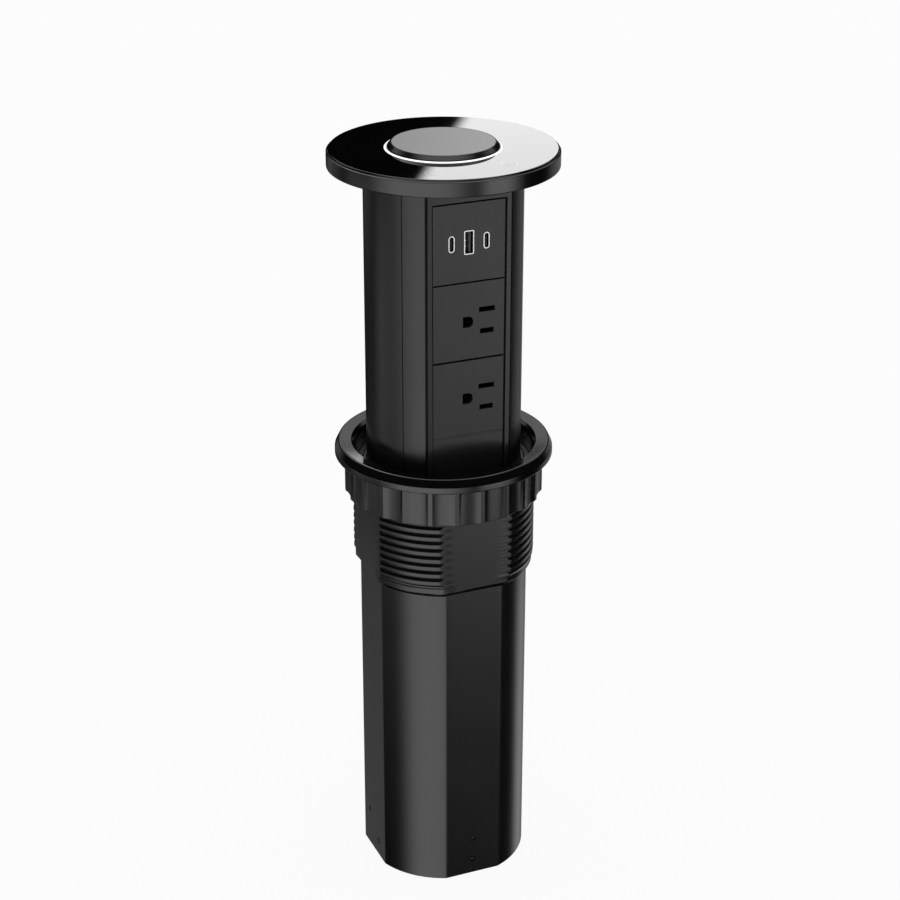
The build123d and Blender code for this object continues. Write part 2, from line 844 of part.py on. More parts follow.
with BuildPart() as home_magnet:
    with BuildSketch(Plane.XY.offset(foot_bottom)):
        with Locations((sensor_x, sensor_y)):
            Circle(magnet_radius)
    extrude(amount=magnet_height)
finish(home_magnet, "home_magnet")

# Column foot: floor with four lobes that slide in the tube's round channels
foot_radius = tube_bore_radius - run_gap
foot_flat = tube_bore_flat - run_gap
boss_places = on_circle(boss_circle, boss_angles)
lead_nut_angles = [90 + 360 * n / lead_nut_screws for n in range(lead_nut_screws)]
lead_nut_places = on_circle(lead_nut_screw_circle, lead_nut_angles, (0, screw_across))
with BuildPart() as column_foot:
    with BuildSketch(Plane.XY.offset(foot_bottom)):
        squared_circle(foot_radius, foot_flat)
    extrude(amount=foot_floor)
    with BuildSketch(Plane.XY.offset(column_bottom)):
        squared_circle(foot_radius, foot_flat)
        Circle(column_radius + fit_gap, mode=Mode.SUBTRACT)
        Rectangle(2 * foot_lobe_edge, 2 * tube_radius, mode=Mode.SUBTRACT)
        Rectangle(2 * tube_radius, 2 * foot_lobe_edge, mode=Mode.SUBTRACT)
    extrude(amount=foot_lobe_height)
    round_cut(lead_nut_radius + fit_gap, foot_bottom, foot_floor, [(0, screw_across)])
    round_cut(lead_nut_screw_radius, foot_bottom, foot_floor, lead_nut_places)
    round_cut(lead_hole_radius, foot_bottom, foot_floor, [(lead_x, lead_y)])
    round_cut(magnet_radius + fit_gap, foot_bottom, magnet_height, [(sensor_x, sensor_y)])
    round_cut(head_screw_radius + fit_gap, foot_bottom, foot_floor, boss_places)
    round_cut(
        head_screw_head_radius + fit_gap,
        foot_bottom,
        head_screw_head_height + fit_gap,
        boss_places,
    )
finish(column_foot, "column_foot")

with BuildPart() as foot_screws:
    pan_screws(
        head_screw_head_radius,
        head_screw_head_height,
        head_screw_radius,
        head_screw_length + foot_floor - head_screw_head_height,
        foot_bottom + head_screw_head_height,
        boss_places,
        up=False,
    )
finish(foot_screws, "foot_screws")

with BuildPart() as lead_nut:
    with BuildSketch(Plane.XY.offset(column_bottom)):
        with Locations((0, screw_across)):
            Circle(lead_nut_flange_radius)
    extrude(amount=lead_nut_flange_height)
    with BuildSketch(Plane.XY.offset(foot_bottom)):
        with Locations((0, screw_across)):
            Circle(lead_nut_radius)
    extrude(amount=lead_nut_height)
    round_cut(screw_radius + fit_gap, foot_bottom, lead_nut_height, [(0, screw_across)])
    flange_top = column_bottom + lead_nut_flange_height
    round_cut(lead_nut_screw_radius + fit_gap, column_bottom, lead_nut_flange_height, lead_nut_places)
finish(lead_nut, "lead_nut")

with BuildPart() as lead_nut_screws_set:
    pan_screws(
        lead_nut_screw_radius + flange_screw_radius / 2,
        flange_screw_head_height,
        lead_nut_screw_radius,
        lead_nut_flange_height + foot_floor - fit_gap,
        flange_top,
        lead_nut_places,
    )
finish(lead_nut_screws_set, "lead_nut_screws")

# Column shell: round wall, inward lips along the front channel, screw bosses and seam lines
lip_back = frame_back - fit_gap - channel_lip_thickness
with BuildPart() as column_shell:
    with BuildSketch(Plane.XY.offset(column_bottom)):
        Circle(column_radius)
        Circle(column_radius - column_wall, mode=Mode.SUBTRACT)
        with BuildSketch(mode=Mode.PRIVATE) as lips:
            for side in (-1, 1):
                middle = side * (channel_half_width - channel_lip_width / 2 + overrun / 2)
                with Locations((middle, -(lip_back + channel_lip_thickness / 2))):
                    Rectangle(channel_lip_width + overrun, channel_lip_thickness)
            Circle(column_radius - column_wall / 2, mode=Mode.INTERSECT)
        add(lips.sketch)
        with Locations((0, -(frame_back - fit_gap + column_radius / 2))):
            Rectangle(2 * channel_half_width, column_radius, mode=Mode.SUBTRACT)
        with BuildSketch(mode=Mode.PRIVATE) as bosses:
            with Locations(*boss_places):
                Circle(boss_radius)
            Circle(column_radius - column_wall / 2, mode=Mode.INTERSECT)
        add(bosses.sketch)
        for angle in (-90 - seam_angle, -90 + seam_angle):
            turn = radians(angle)
            seam_middle = (column_radius * cos(turn), column_radius * sin(turn))
            with Locations(Location((*seam_middle, 0), (0, 0, angle))):
                Rectangle(2 * seam_depth, seam_width, mode=Mode.SUBTRACT)
    extrude(amount=column_height)
    # shallow step at the top that leaves a dark line under the rim
    with BuildSketch(Plane.XY.offset(column_top - neck_height)):
        Circle(column_radius + overrun)
        Circle(column_radius - neck_inset, mode=Mode.SUBTRACT)
    extrude(amount=neck_height + overrun, mode=Mode.SUBTRACT)
    round_cut(boss_bore_radius, column_bottom, boss_bore_depth, boss_places)
    round_cut(boss_bore_radius, column_top, -boss_bore_depth, boss_places)
finish(column_shell, "column_shell")

# Front frame, one window for the modules and the filler plate
window_bottom = column_bottom + frame_bottom_bar
with BuildPart() as front_frame:
    with BuildSketch(Plane.XY.offset(column_bottom + fit_gap)):
        with Locations((0, -(frame_back + frame_thickness / 2))):
            Rectangle(2 * frame_half_width, frame_thickness)
    extrude(amount=column_height - 2 * fit_gap)
    with BuildSketch(Plane.XY.offset(window_bottom)):
        with Locations((0, -(frame_back + frame_thickness / 2))):
            Rectangle(2 * window_half_width, frame_thickness + 2 * overrun)
    extrude(amount=window_top - window_bottom, mode=Mode.SUBTRACT)
    with BuildSketch(Plane.XY.offset(column_top - neck_height)):
        with Locations((0, -(frame_front - neck_inset + neck_inset / 2 + overrun / 2))):
            Rectangle(2 * frame_half_width + 2 * overrun, neck_inset + overrun)
    extrude(amount=neck_height, mode=Mode.SUBTRACT)
finish(front_frame, "front_frame")


def module_plate(top, height):
    """A face plate in the frame's window, recessed behind the frame's front."""
    thickness = module_face - frame_back
    with BuildSketch(Plane.XY.offset(top - module_gap)) as plate:
        with Locations((0, -(frame_back + thickness / 2))):
            Rectangle(2 * module_half_width, thickness)
    extrude(plate.sketch, amount=-(height - module_gap))


def module_body(top, depth):
    """The box of a module behind its face plate, between the channel's lips."""
    with BuildSketch(Plane.XY.offset(top - body_end_gap)) as box:
        with Locations((0, -(frame_back - depth / 2))):
            Rectangle(2 * body_half_width, depth)
    extrude(box.sketch, amount=-(module_pitch - 2 * body_end_gap))


def face_pocket(top, drop, across, width, height, start, depth, mode=Mode.SUBTRACT):
    """An upright rectangular pocket in a module, from a depth behind the face plate's front."""
    with BuildSketch(Plane.XY.offset(top - drop - height / 2)) as pocket:
        with Locations((across, -(module_face - start - depth / 2))):
            Rectangle(width, depth)
    extrude(pocket.sketch, amount=height, mode=mode)


# Outlets and the parts inside them
module_middle = module_pitch / 2
slots = (
    (outlet_drop - slot_spacing / 2, long_slot_width),
    (outlet_drop + slot_spacing / 2, short_slot_width),
)
outlet_room_depth = outlet_depth - outlet_back_thickness
plate_thickness_here = module_face - frame_back


def outlet(top):
    """Draw one outlet: face plate, body, contact chambers open to the back, slots."""
    module_plate(top, module_pitch)
    module_body(top, outlet_depth)
    chamber_start = face_web
    chamber_depth = plate_thickness_here + outlet_room_depth - chamber_start
    for drop, width in slots:
        face_pocket(top, drop, slot_across, width, slot_height, -overrun, face_web + 2 * overrun)
        chamber = (width + 2 * clip_room, slot_height + 2 * clip_room)
        face_pocket(top, drop, slot_across, *chamber, chamber_start, chamber_depth + overrun)
    with BuildSketch(Plane.XZ.offset(module_face + overrun)) as earth_hole:
        with Locations((earth_across, top - outlet_drop)):
            Circle(earth_size / 2)
        with Locations((earth_across - earth_size / 4, top - outlet_drop)):
            Rectangle(earth_size / 2, earth_size)
    extrude(earth_hole.sketch, amount=-(earth_pocket_depth + overrun), mode=Mode.SUBTRACT)
    earth_room = earth_size + 2 * clip_room
    start = earth_pocket_depth
    depth = plate_thickness_here + outlet_room_depth - start + overrun
    face_pocket(top, outlet_drop, earth_across, earth_room, earth_room, start, depth)
    with BuildSketch(Plane.XZ.offset(frame_back - outlet_room_depth)) as seat:
        with Locations((0, top - module_middle)):
            Rectangle(2 * (body_half_width - body_wall / 2), module_pitch - 4 * body_end_gap)
    extrude(seat.sketch, amount=-outlet_back_thickness, mode=Mode.SUBTRACT)


for name, top in zip(("outlet_upper", "outlet_lower"), outlet_tops):
    with BuildPart() as outlet_part:
        outlet(top)
    finish(outlet_part, name)

with BuildPart() as outlet_backs:
    for top in outlet_tops:
        with BuildSketch(Plane.XZ.offset(frame_back - outlet_room_depth)):
            with Locations((0, top - module_middle)):
                back_width = 2 * (body_half_width - body_wall / 2 - fit_gap)
                Rectangle(back_width, module_pitch - 4 * body_end_gap - 2 * fit_gap)
        extrude(amount=-outlet_back_thickness)
finish(outlet_backs, "outlet_backs")

# Contact clips: a folded strip in each chamber, standing on the back cover
clip_start = plate_thickness_here + outlet_room_depth - clip_depth
with BuildPart() as contact_clips:
    for top in outlet_tops:
        for drop, width in slots:
            clip_height = blade_thickness + 2 * clip_thickness
            face_pocket(top, drop, slot_across, width, clip_height, clip_start, clip_depth, Mode.ADD)
            inner = clip_depth - clip_thickness
            opening = width + 2 * overrun
            face_pocket(top, drop, slot_across, opening, blade_thickness, clip_start, inner)
        outer = earth_size - clip_thickness
        depth = plate_thickness_here + outlet_room_depth - earth_pocket_depth - clip_thickness
        start = earth_pocket_depth + clip_thickness
        face_pocket(top, outlet_drop, earth_across, outer, outer, start, depth, Mode.ADD)
        hollow = outer - 2 * clip_thickness
        inner = depth - clip_thickness
        face_pocket(top, outlet_drop, earth_across, hollow, outer + overrun, start, inner)
finish(contact_clips, "contact_clips")

# Charging module: face plate with three port windows and a box open to the back
usb_room_back = module_face - frame_back + usb_body_depth
with BuildPart() as usb_module:
    module_plate(module_top, module_pitch)
    module_body(module_top, usb_body_depth)
    room_width = 2 * (body_half_width - body_wall)
    room_height = module_pitch - 2 * body_end_gap - 2 * body_wall
    room_start = face_web
    room_depth = usb_room_back - room_start + overrun
    face_pocket(module_top, module_middle, 0, room_width, room_height, room_start, room_depth)
    cut_depth = face_web + 2 * overrun
    face_pocket(module_top, usb_drop, 0, usb_a_width, usb_a_height, -overrun, cut_depth)
    with BuildSketch(Plane.XZ.offset(module_face + overrun)):
        for across in (-usb_c_across, usb_c_across):
            with Locations((across, module_top - usb_drop)):
                SlotOverall(usb_c_height, usb_c_width, rotation=90)
    extrude(amount=-cut_depth, mode=Mode.SUBTRACT)
finish(usb_module, "usb_module")

usb_board_start = usb_room_back - usb_board_thickness
with BuildPart() as usb_board:
    board_width = room_width - 2 * fit_gap
    board_size = (board_width, room_height - 2 * fit_gap)
    face_pocket(
        module_top,
        module_middle,
        0,
        *board_size,
        usb_board_start,
        usb_board_thickness,
        Mode.ADD,
    )
finish(usb_board, "usb_board")

port_start = port_wall
port_depth = usb_board_start - port_start
with BuildPart() as usb_a_port:
    shell_size = (usb_a_width - 2 * fit_gap, usb_a_height - 2 * fit_gap)
    face_pocket(module_top, usb_drop, 0, *shell_size, port_start, port_depth, Mode.ADD)
    hollow_size = (shell_size[0] - 2 * port_wall, shell_size[1] - 2 * port_wall)
    face_pocket(module_top, usb_drop, 0, *hollow_size, port_start, usb_a_depth)
    tongue_size = (usb_a_tongue, shell_size[1] - 4 * port_wall)
    tongue_start = port_start + 2 * port_wall
    face_pocket(
        module_top,
        usb_drop,
        usb_a_tongue_across,
        *tongue_size,
        tongue_start,
        usb_a_depth,
        Mode.ADD,
    )
finish(usb_a_port, "usb_a_port")

with BuildPart() as usb_c_ports:
    front = module_face - port_start
    for across in (-usb_c_across, usb_c_across):
        wide, high = usb_c_width - 2 * fit_gap, usb_c_height - 2 * fit_gap
        for width, height, length, mode in (
            (wide, high, port_depth, Mode.ADD),
            (wide - 2 * port_wall, high - 2 * port_wall, usb_c_depth, Mode.SUBTRACT),
            (usb_c_tongue, high - 6 * port_wall, usb_c_depth, Mode.ADD),
        ):
            with BuildSketch(Plane.XZ.offset(front)):
                with Locations((across, module_top - usb_drop)):
                    SlotOverall(height, width, rotation=90)
            extrude(amount=-length, mode=mode)
finish(usb_c_ports, "usb_c_ports")

# Filler plate below the outlets
with BuildPart() as blank_plate:
    module_plate(filler_top, filler_top - window_bottom)
    with BuildSketch(Plane.XY.offset(filler_top - body_end_gap)):
        with Locations((0, -(frame_back - channel_lip_thickness / 2))):
            Rectangle(2 * body_half_width, channel_lip_thickness)
    extrude(amount=-(filler_top - body_end_gap - window_bottom))
finish(blank_plate, "blank_plate")

# Harness inside the column, from the foot's hole to the head, with a branch to each module
with BuildPart() as column_harness:
    with BuildSketch(Plane.XY.offset(foot_bottom)):
        with Locations((lead_x, lead_y)):
            Circle(harness_radius)
    extrude(amount=rim_floor_top - foot_bottom)
    for top in (module_top, *outlet_tops):
        branch_y = -(frame_back - usb_body_depth / 2)
        branch_z = top - module_middle
        with BuildSketch(Plane.XZ.offset(-lead_y)):
            with Locations((lead_x, branch_z)):
                Circle(harness_branch_radius)
        extrude(amount=lead_y - branch_y)
        with BuildSketch(Plane.YZ.offset(lead_x - harness_branch_radius)):
            with Locations((branch_y, branch_z)):
                Circle(harness_branch_radius)
        extrude(amount=-body_half_width - lead_x + harness_branch_radius - fit_gap)
finish(column_harness, "column_harness")

# Head rim: a shallow dish with a seat for the glass and a ring wall round the puck
hub_wall_inner = ring_outer_radius + fit_gap
hub_wall_outer = hub_wall_inner + ring_wall
glass_seat_radius = glass_radius + glass_side_gap
touch_places = [
    ((rim_radius - inset) * cos(radians(angle)), (rim_radius - inset) * sin(radians(angle)))
    for inset, angle in zip(touch_insets, touch_angles)
]
with BuildPart() as head_rim:
    with BuildSketch(Plane.XZ):
        with BuildLine():
            Polyline(
                (0, column_top),
                (rim_radius, column_top),
                (rim_radius, rim_top - rim_bevel_height),
                (rim_radius - rim_bevel_width, rim_top),
                (glass_seat_radius, rim_top),
                (glass_seat_radius, glass_bottom),
                (rim_radius - rim_wall, glass_bottom),
                (rim_radius - rim_wall, rim_floor_top),
                (0, rim_floor_top),
                close=True,
            )
        make_face()
    revolve(axis=Axis.Z)
    ring_disc(hub_wall_outer, hub_wall_inner, rim_floor_top, glass_bottom - rim_floor_top)
    touch_board_bottom = glass_bottom - touch_board_thickness
    with BuildSketch(Plane.XY.offset(rim_floor_top)):
        with Locations(*touch_places):
            Circle(touch_post_radius)
    extrude(amount=touch_board_bottom - rim_floor_top)
    round_cut(head_screw_radius + fit_gap, column_top, rim_floor, boss_places)
    round_cut(harness_radius + fit_gap, column_top, rim_floor, [(lead_x, lead_y)])
finish(head_rim, "head_rim")

with BuildPart() as head_screws:
    pan_screws(
        head_screw_head_radius,
        head_screw_head_height,
        head_screw_radius,
        head_screw_length + rim_floor,
        rim_floor_top,
        boss_places,
    )
finish(head_screws, "head_screws")

with BuildPart() as glass_panel:
    ring_disc(glass_radius, ring_outer_radius + fit_gap, glass_bottom, glass_thickness)
    chamfer(glass_panel.edges().group_by(Axis.Z)[-1].sort_by(SortBy.LENGTH)[-1], length=rim_bevel_width)
finish(glass_panel, "glass_panel")

with BuildPart() as led_ring:
    ring_top = glass_top + ring_proud
    ring_bore = ring_outer_radius - ring_wall
    ring_disc(ring_outer_radius, ring_bore, rim_floor_top, ring_top - rim_floor_top)
finish(led_ring, "led_ring")

# Touch board under the glass, a strip that bends round the puck's wall
with BuildPart() as touch_board:
    with BuildSketch(Plane.XY.offset(touch_board_bottom)):
        board_outer = rim_radius - rim_wall - touch_pad_radius
        Circle(board_outer)
        Circle(board_outer - touch_board_width, mode=Mode.SUBTRACT)
        with Locations((0, touch_board_width)):
            Rectangle(4 * rim_radius, 2 * board_outer - 2 * touch_board_width, mode=Mode.SUBTRACT)
    extrude(amount=touch_board_thickness - fit_gap)
finish(touch_board, "touch_board")

# Charging puck with the coil and board inside it
with BuildPart() as charger_puck:
    with BuildSketch(Plane.XZ):
        with BuildLine():
            side_top = glass_top + puck_side_height / 2
            Polyline(
                (puck_radius - puck_wall, rim_floor_top),
                (puck_radius, rim_floor_top),
                (puck_radius, side_top),
                (puck_top_radius, puck_top),
                (pad_radius + fit_gap, puck_top),
                (pad_radius + fit_gap, puck_top - pad_thickness),
                (0, puck_top - pad_thickness),
                (0, puck_top - pad_thickness - puck_wall),
                (puck_radius - puck_wall, puck_top - pad_thickness - puck_wall),
                close=True,
            )
        make_face()
    revolve(axis=Axis.Z)
finish(charger_puck, "charger_puck")

with BuildPart() as puck_pad:
    ring_disc(pad_radius, 0, puck_top - pad_thickness, pad_thickness)
finish(puck_pad, "puck_pad")

coil_top = puck_top - pad_thickness - puck_wall
shield_top = coil_top - coil_thickness
shield_bottom = shield_top - shield_thickness
with BuildPart() as charger_coil:
    ring_disc(coil_radius, coil_bore_radius, coil_top, -coil_thickness)
finish(charger_coil, "charger_coil")

with BuildPart() as coil_shield:
    ring_disc(shield_radius, 0, shield_top, -shield_thickness)
finish(coil_shield, "coil_shield")

with BuildPart() as charger_board:
    board_low = rim_floor_top + head_screw_head_height + part_gap / 4
    ring_disc(charger_board_radius, 0, board_low, charger_board_thickness)
    with BuildSketch(Plane.XY.offset(board_low + charger_board_thickness)):
        with GridLocations(part_gap * 3, part_gap * 3, 2, 2):
            Rectangle(part_gap, part_gap)
    extrude(amount=shield_bottom - board_low - charger_board_thickness)
    with BuildSketch(Plane.XY.offset(rim_floor_top)):
        with PolarLocations(charger_board_radius - part_gap, 3, start_angle=30):
            Circle(part_gap / 2)
    extrude(amount=board_low - rim_floor_top)
finish(charger_board, "charger_board")
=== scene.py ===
import json
import math

import bmesh
import bpy
import numpy as np
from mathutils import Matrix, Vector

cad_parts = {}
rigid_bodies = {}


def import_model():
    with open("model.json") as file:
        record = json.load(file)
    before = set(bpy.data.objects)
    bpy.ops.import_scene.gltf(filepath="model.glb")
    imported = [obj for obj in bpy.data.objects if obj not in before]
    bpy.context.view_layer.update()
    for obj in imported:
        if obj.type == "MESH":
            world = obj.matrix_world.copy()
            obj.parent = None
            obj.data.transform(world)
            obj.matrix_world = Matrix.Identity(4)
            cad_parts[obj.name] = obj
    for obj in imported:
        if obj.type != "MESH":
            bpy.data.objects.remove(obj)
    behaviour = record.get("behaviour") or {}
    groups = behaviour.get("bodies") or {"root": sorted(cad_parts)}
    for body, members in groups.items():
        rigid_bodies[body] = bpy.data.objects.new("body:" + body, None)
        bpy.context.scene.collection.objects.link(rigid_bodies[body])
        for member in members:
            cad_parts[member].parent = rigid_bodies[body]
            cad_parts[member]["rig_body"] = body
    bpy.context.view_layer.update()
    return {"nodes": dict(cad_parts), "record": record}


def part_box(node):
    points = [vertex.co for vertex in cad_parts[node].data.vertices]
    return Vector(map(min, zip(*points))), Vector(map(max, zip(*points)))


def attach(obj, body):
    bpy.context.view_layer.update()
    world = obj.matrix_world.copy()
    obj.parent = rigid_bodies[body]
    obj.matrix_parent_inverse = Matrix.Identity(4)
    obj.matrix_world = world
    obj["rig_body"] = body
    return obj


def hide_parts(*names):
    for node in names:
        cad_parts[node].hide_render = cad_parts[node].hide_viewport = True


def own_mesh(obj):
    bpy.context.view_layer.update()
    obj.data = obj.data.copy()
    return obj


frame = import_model()

# Pop up desk socket: a round column with a charging head, raised out of its desk fitting.
# Lengths are metres in the part's frame: Z up, sockets facing -Y.

MM = 0.001
TURN = 2 * math.pi


def low(node):
    """Lowest corner of a node of the frame."""
    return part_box(node)[0]


def high(node):
    """Highest corner of a node of the frame."""
    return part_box(node)[1]


# Heights and radii read from the frame
LIP = high("desk_flange").z
TUBE_FLAT = high("lower_tube").x
COLLAR_FLAT = high("threaded_collar").x
COLLAR_LOW = low("threaded_collar").z
COLLAR_HIGH = high("threaded_collar").z
COLUMN_RADIUS = high("column_shell").y
COLUMN_LOW = low("column_shell").z
COLUMN_HIGH = high("column_shell").z
FRAME_FACE = low("front_frame").y
FRAME_HALF = high("front_frame").x
NUT_LOW = low("lock_nut").z
NUT_HIGH = high("lock_nut").z
GLASS_TOP = high("glass_panel").z

# Camera solved from the photograph: distance and height from the flange's lip
VIEW_TURN = math.radians(-22.6)
VIEW_DROP = math.radians(23.81)
VIEW_DISTANCE = 1.1493
VIEW_HEIGHT = 0.4981
LENS = 85.836
SHIFT = 0.0073


def make_camera():
    """Camera on the socket side, turned and dropped as in the photograph."""
    data = bpy.data.cameras.new("camera")
    data.lens = LENS
    data.sensor_width = 36.0
    data.shift_x = SHIFT
    data.clip_start = 0.05
    data.clip_end = 20.0
    camera = bpy.data.objects.new("camera", data)
    bpy.context.scene.collection.objects.link(camera)
    across = VIEW_DISTANCE * math.sin(VIEW_TURN)
    along = -VIEW_DISTANCE * math.cos(VIEW_TURN)
    camera.location = (across, along, LIP + VIEW_HEIGHT)
    camera.rotation_euler = (math.pi / 2 - VIEW_DROP, 0, VIEW_TURN)
    bpy.context.scene.camera = camera


make_camera()

# ---------------------------------------------------------------- materials


class Nodes:
    """Short hand for making and joining the nodes of one tree."""

    def __init__(self, tree):
        self.tree = tree

    def add(self, kind, **values):
        node = self.tree.nodes.new(kind)
        for name, value in values.items():
            setattr(node, name, value)
        return node

    def join(self, start, end):
        self.tree.links.new(start, end)

    def math(self, operation, *inputs):
        node = self.add("ShaderNodeMath", operation=operation)
        for socket, value in zip(node.inputs, inputs):
            if isinstance(value, (int, float)):
                socket.default_value = value
            else:
                self.join(value, socket)
        return node.outputs[0]


def group_tree(name, inputs, outputs):
    """An empty shader node group with named sockets."""
    tree = bpy.data.node_groups.new(name, "ShaderNodeTree")
    for label, kind, value in inputs:
        socket = tree.interface.new_socket(label, in_out="INPUT", socket_type=kind)
        if value is not None:
            socket.default_value = value
    for label, kind in outputs:
        tree.interface.new_socket(label, in_out="OUTPUT", socket_type=kind)
    nodes = Nodes(tree)
    return nodes, nodes.add("NodeGroupInput"), nodes.add("NodeGroupOutput")


GRAIN_DEPTH = 0.1 * MM
BROAD_SCALE = 28


def make_skin_group():
    """Surface of a finished part: fine grain, broad mottling of colour and sheen."""
    nodes, given, out = group_tree(
        "part_skin",
        [
            ("Place", "NodeSocketVector", None),
            ("Colour", "NodeSocketColor", (0.05, 0.05, 0.05, 1)),
            ("Colour Spread", "NodeSocketFloat", 0.1),
            ("Roughness", "NodeSocketFloat", 0.4),
            ("Roughness Spread", "NodeSocketFloat", 0.05),
            ("Grain Scale", "NodeSocketFloat", 2500.0),
        ],
        [
            ("Colour", "NodeSocketColor"),
            ("Roughness", "NodeSocketFloat"),
            ("Height", "NodeSocketFloat"),
        ],
    )
    grain = nodes.add("ShaderNodeTexNoise")
    grain.inputs["Detail"].default_value = 3
    nodes.join(given.outputs["Place"], grain.inputs["Vector"])
    nodes.join(given.outputs["Grain Scale"], grain.inputs["Scale"])
    broad = nodes.add("ShaderNodeTexNoise")
    broad.inputs["Scale"].default_value = BROAD_SCALE
    broad.inputs["Detail"].default_value = 4
    nodes.join(given.outputs["Place"], broad.inputs["Vector"])
    lift = nodes.math("SUBTRACT", broad.outputs["Fac"], 0.5)
    shade = nodes.math("MULTIPLY_ADD", lift, given.outputs["Colour Spread"], 1.0)
    speck = nodes.math("SUBTRACT", grain.outputs["Fac"], 0.5)
    tone = nodes.math("MULTIPLY_ADD", speck, given.outputs["Colour Spread"], shade)
    scaled = nodes.add("ShaderNodeVectorMath", operation="SCALE")
    nodes.join(given.outputs["Colour"], scaled.inputs[0])
    nodes.join(tone, scaled.inputs["Scale"])
    nodes.join(scaled.outputs[0], out.inputs["Colour"])
    rough_spread, rough_base = given.outputs["Roughness Spread"], given.outputs["Roughness"]
    rough = nodes.math("MULTIPLY_ADD", lift, rough_spread, rough_base)
    nodes.join(rough, out.inputs["Roughness"])
    nodes.join(grain.outputs["Fac"], out.inputs["Height"])
    return nodes.tree


SKIN = make_skin_group()


def skin_material(
    name, colour, rough, spread=0.12, rough_spread=0.06, grain=2500.0, bump=0.02, **sockets
):
    """A material with the part skin group; further sockets of the shader are set by name."""
    material = bpy.data.materials.new(name)
    material.use_nodes = True
    nodes = Nodes(material.node_tree)
    shader = material.node_tree.nodes["Principled BSDF"]
    place = nodes.add("ShaderNodeTexCoord")
    skin = nodes.add("ShaderNodeGroup", node_tree=SKIN)
    nodes.join(place.outputs["Object"], skin.inputs["Place"])
    skin.inputs["Colour"].default_value = (*colour, 1)
    skin.inputs["Colour Spread"].default_value = spread
    skin.inputs["Roughness"].default_value = rough
    skin.inputs["Roughness Spread"].default_value = rough_spread
    skin.inputs["Grain Scale"].default_value = grain
    nodes.join(skin.outputs["Colour"], shader.inputs["Base Color"])
    nodes.join(skin.outputs["Roughness"], shader.inputs["Roughness"])
    relief = nodes.add("ShaderNodeBump")
    relief.inputs["Strength"].default_value = bump
    relief.inputs["Distance"].default_value = GRAIN_DEPTH
    nodes.join(skin.outputs["Height"], relief.inputs["Height"])
    nodes.join(relief.outputs["Normal"], shader.inputs["Normal"])
    for label, value in sockets.items():
        shader.inputs[label.replace("_", " ")].default_value = value
    return material


BLACK = (0.003, 0.003, 0.0032)
COLUMN_BLACK = (0.004, 0.004, 0.0042)
PANEL_BLACK = (0.009, 0.009, 0.0095)
GLASS_BLACK = (0.001, 0.001, 0.001)
GLASSY = dict(rough=0.02, rough_spread=0.01, bump=0.0)

FINISHES = {
    name: skin_material(name, **values)
    for name, values in {
        "tube_black": dict(colour=BLACK, rough=0.25, bump=0.03, Specular_IOR_Level=0.6),
        "column_black": dict(colour=COLUMN_BLACK, rough=0.3, bump=0.03, Specular_IOR_Level=0.48),
        "collar_black": dict(colour=BLACK, rough=0.25, bump=0.05, Specular_IOR_Level=0.6),
        "flange_black": dict(colour=BLACK, rough=0.14, bump=0.03, Specular_IOR_Level=0.6),
        "rim_black": dict(colour=BLACK, rough=0.2, bump=0.02, Specular_IOR_Level=0.6),
        "panel_black": dict(
            colour=PANEL_BLACK, rough=0.28, bump=0.06, grain=1800.0, Specular_IOR_Level=0.42
        ),
        "glass_black": dict(colour=GLASS_BLACK, Specular_IOR_Level=0.5, **GLASSY),
        "light_white": dict(
            colour=(0.9, 0.9, 0.93),
            rough=0.3,
            spread=0.03,
            Emission_Color=(0.93, 0.93, 1.0, 1),
            Emission_Strength=0.7,
        ),
        "puck_black": dict(colour=BLACK, rough=0.2, bump=0.01),
        "pad_grey": dict(colour=(0.38, 0.38, 0.38), rough=0.3, spread=0.05, bump=0.05),
        "rubber_black": dict(
            colour=(0.005, 0.005, 0.005), rough=0.34, bump=0.06, Specular_IOR_Level=0.5
        ),
        "steel": dict(colour=(0.62, 0.62, 0.64), rough=0.28, Metallic=1.0),
        "steel_black": dict(colour=(0.006, 0.006, 0.006), rough=0.3),
        "brass": dict(colour=(0.72, 0.52, 0.24), rough=0.3, Metallic=1.0),
        "bronze": dict(colour=(0.55, 0.36, 0.18), rough=0.35, Metallic=1.0),
        "plastic_white": dict(colour=(0.7, 0.7, 0.68), rough=0.45),
        "plastic_dark": dict(colour=(0.012, 0.012, 0.0125), rough=0.4, bump=0.06),
        "board_green": dict(colour=(0.02, 0.13, 0.05), rough=0.4),
        "copper": dict(colour=(0.75, 0.36, 0.2), rough=0.35, Metallic=1.0),
        "ferrite": dict(colour=(0.06, 0.06, 0.065), rough=0.6),
        "zinc": dict(colour=(0.5, 0.5, 0.52), rough=0.42, Metallic=1.0),
        # Black without gloss: painted shade, laid where the recess round each tube screw would be dark
        "painted_recess_shade": dict(colour=GLASS_BLACK, rough=0.6, Specular_IOR_Level=0.0),
        "mark_white": dict(colour=(0.16, 0.16, 0.16), **GLASSY),
        "mark_blue": dict(colour=(0.02, 0.045, 0.06), Specular_IOR_Level=0.42, **GLASSY),
        "mark_pink": dict(colour=(0.055, 0.015, 0.022), Specular_IOR_Level=0.42, **GLASSY),
    }.items()
}
SLOT_OF = {part["node"]: part["material_slot"] for part in frame["record"]["subparts"]}
for node_name, node_object in frame["nodes"].items():
    node_object.data.materials.clear()
    node_object.data.materials.append(FINISHES[SLOT_OF[node_name]])

# The screws on the dish floor are as black as the dish
frame["nodes"]["flange_screws"].data.materials[0] = FINISHES["steel_black"]

# ---------------------------------------------------------------- surfaces


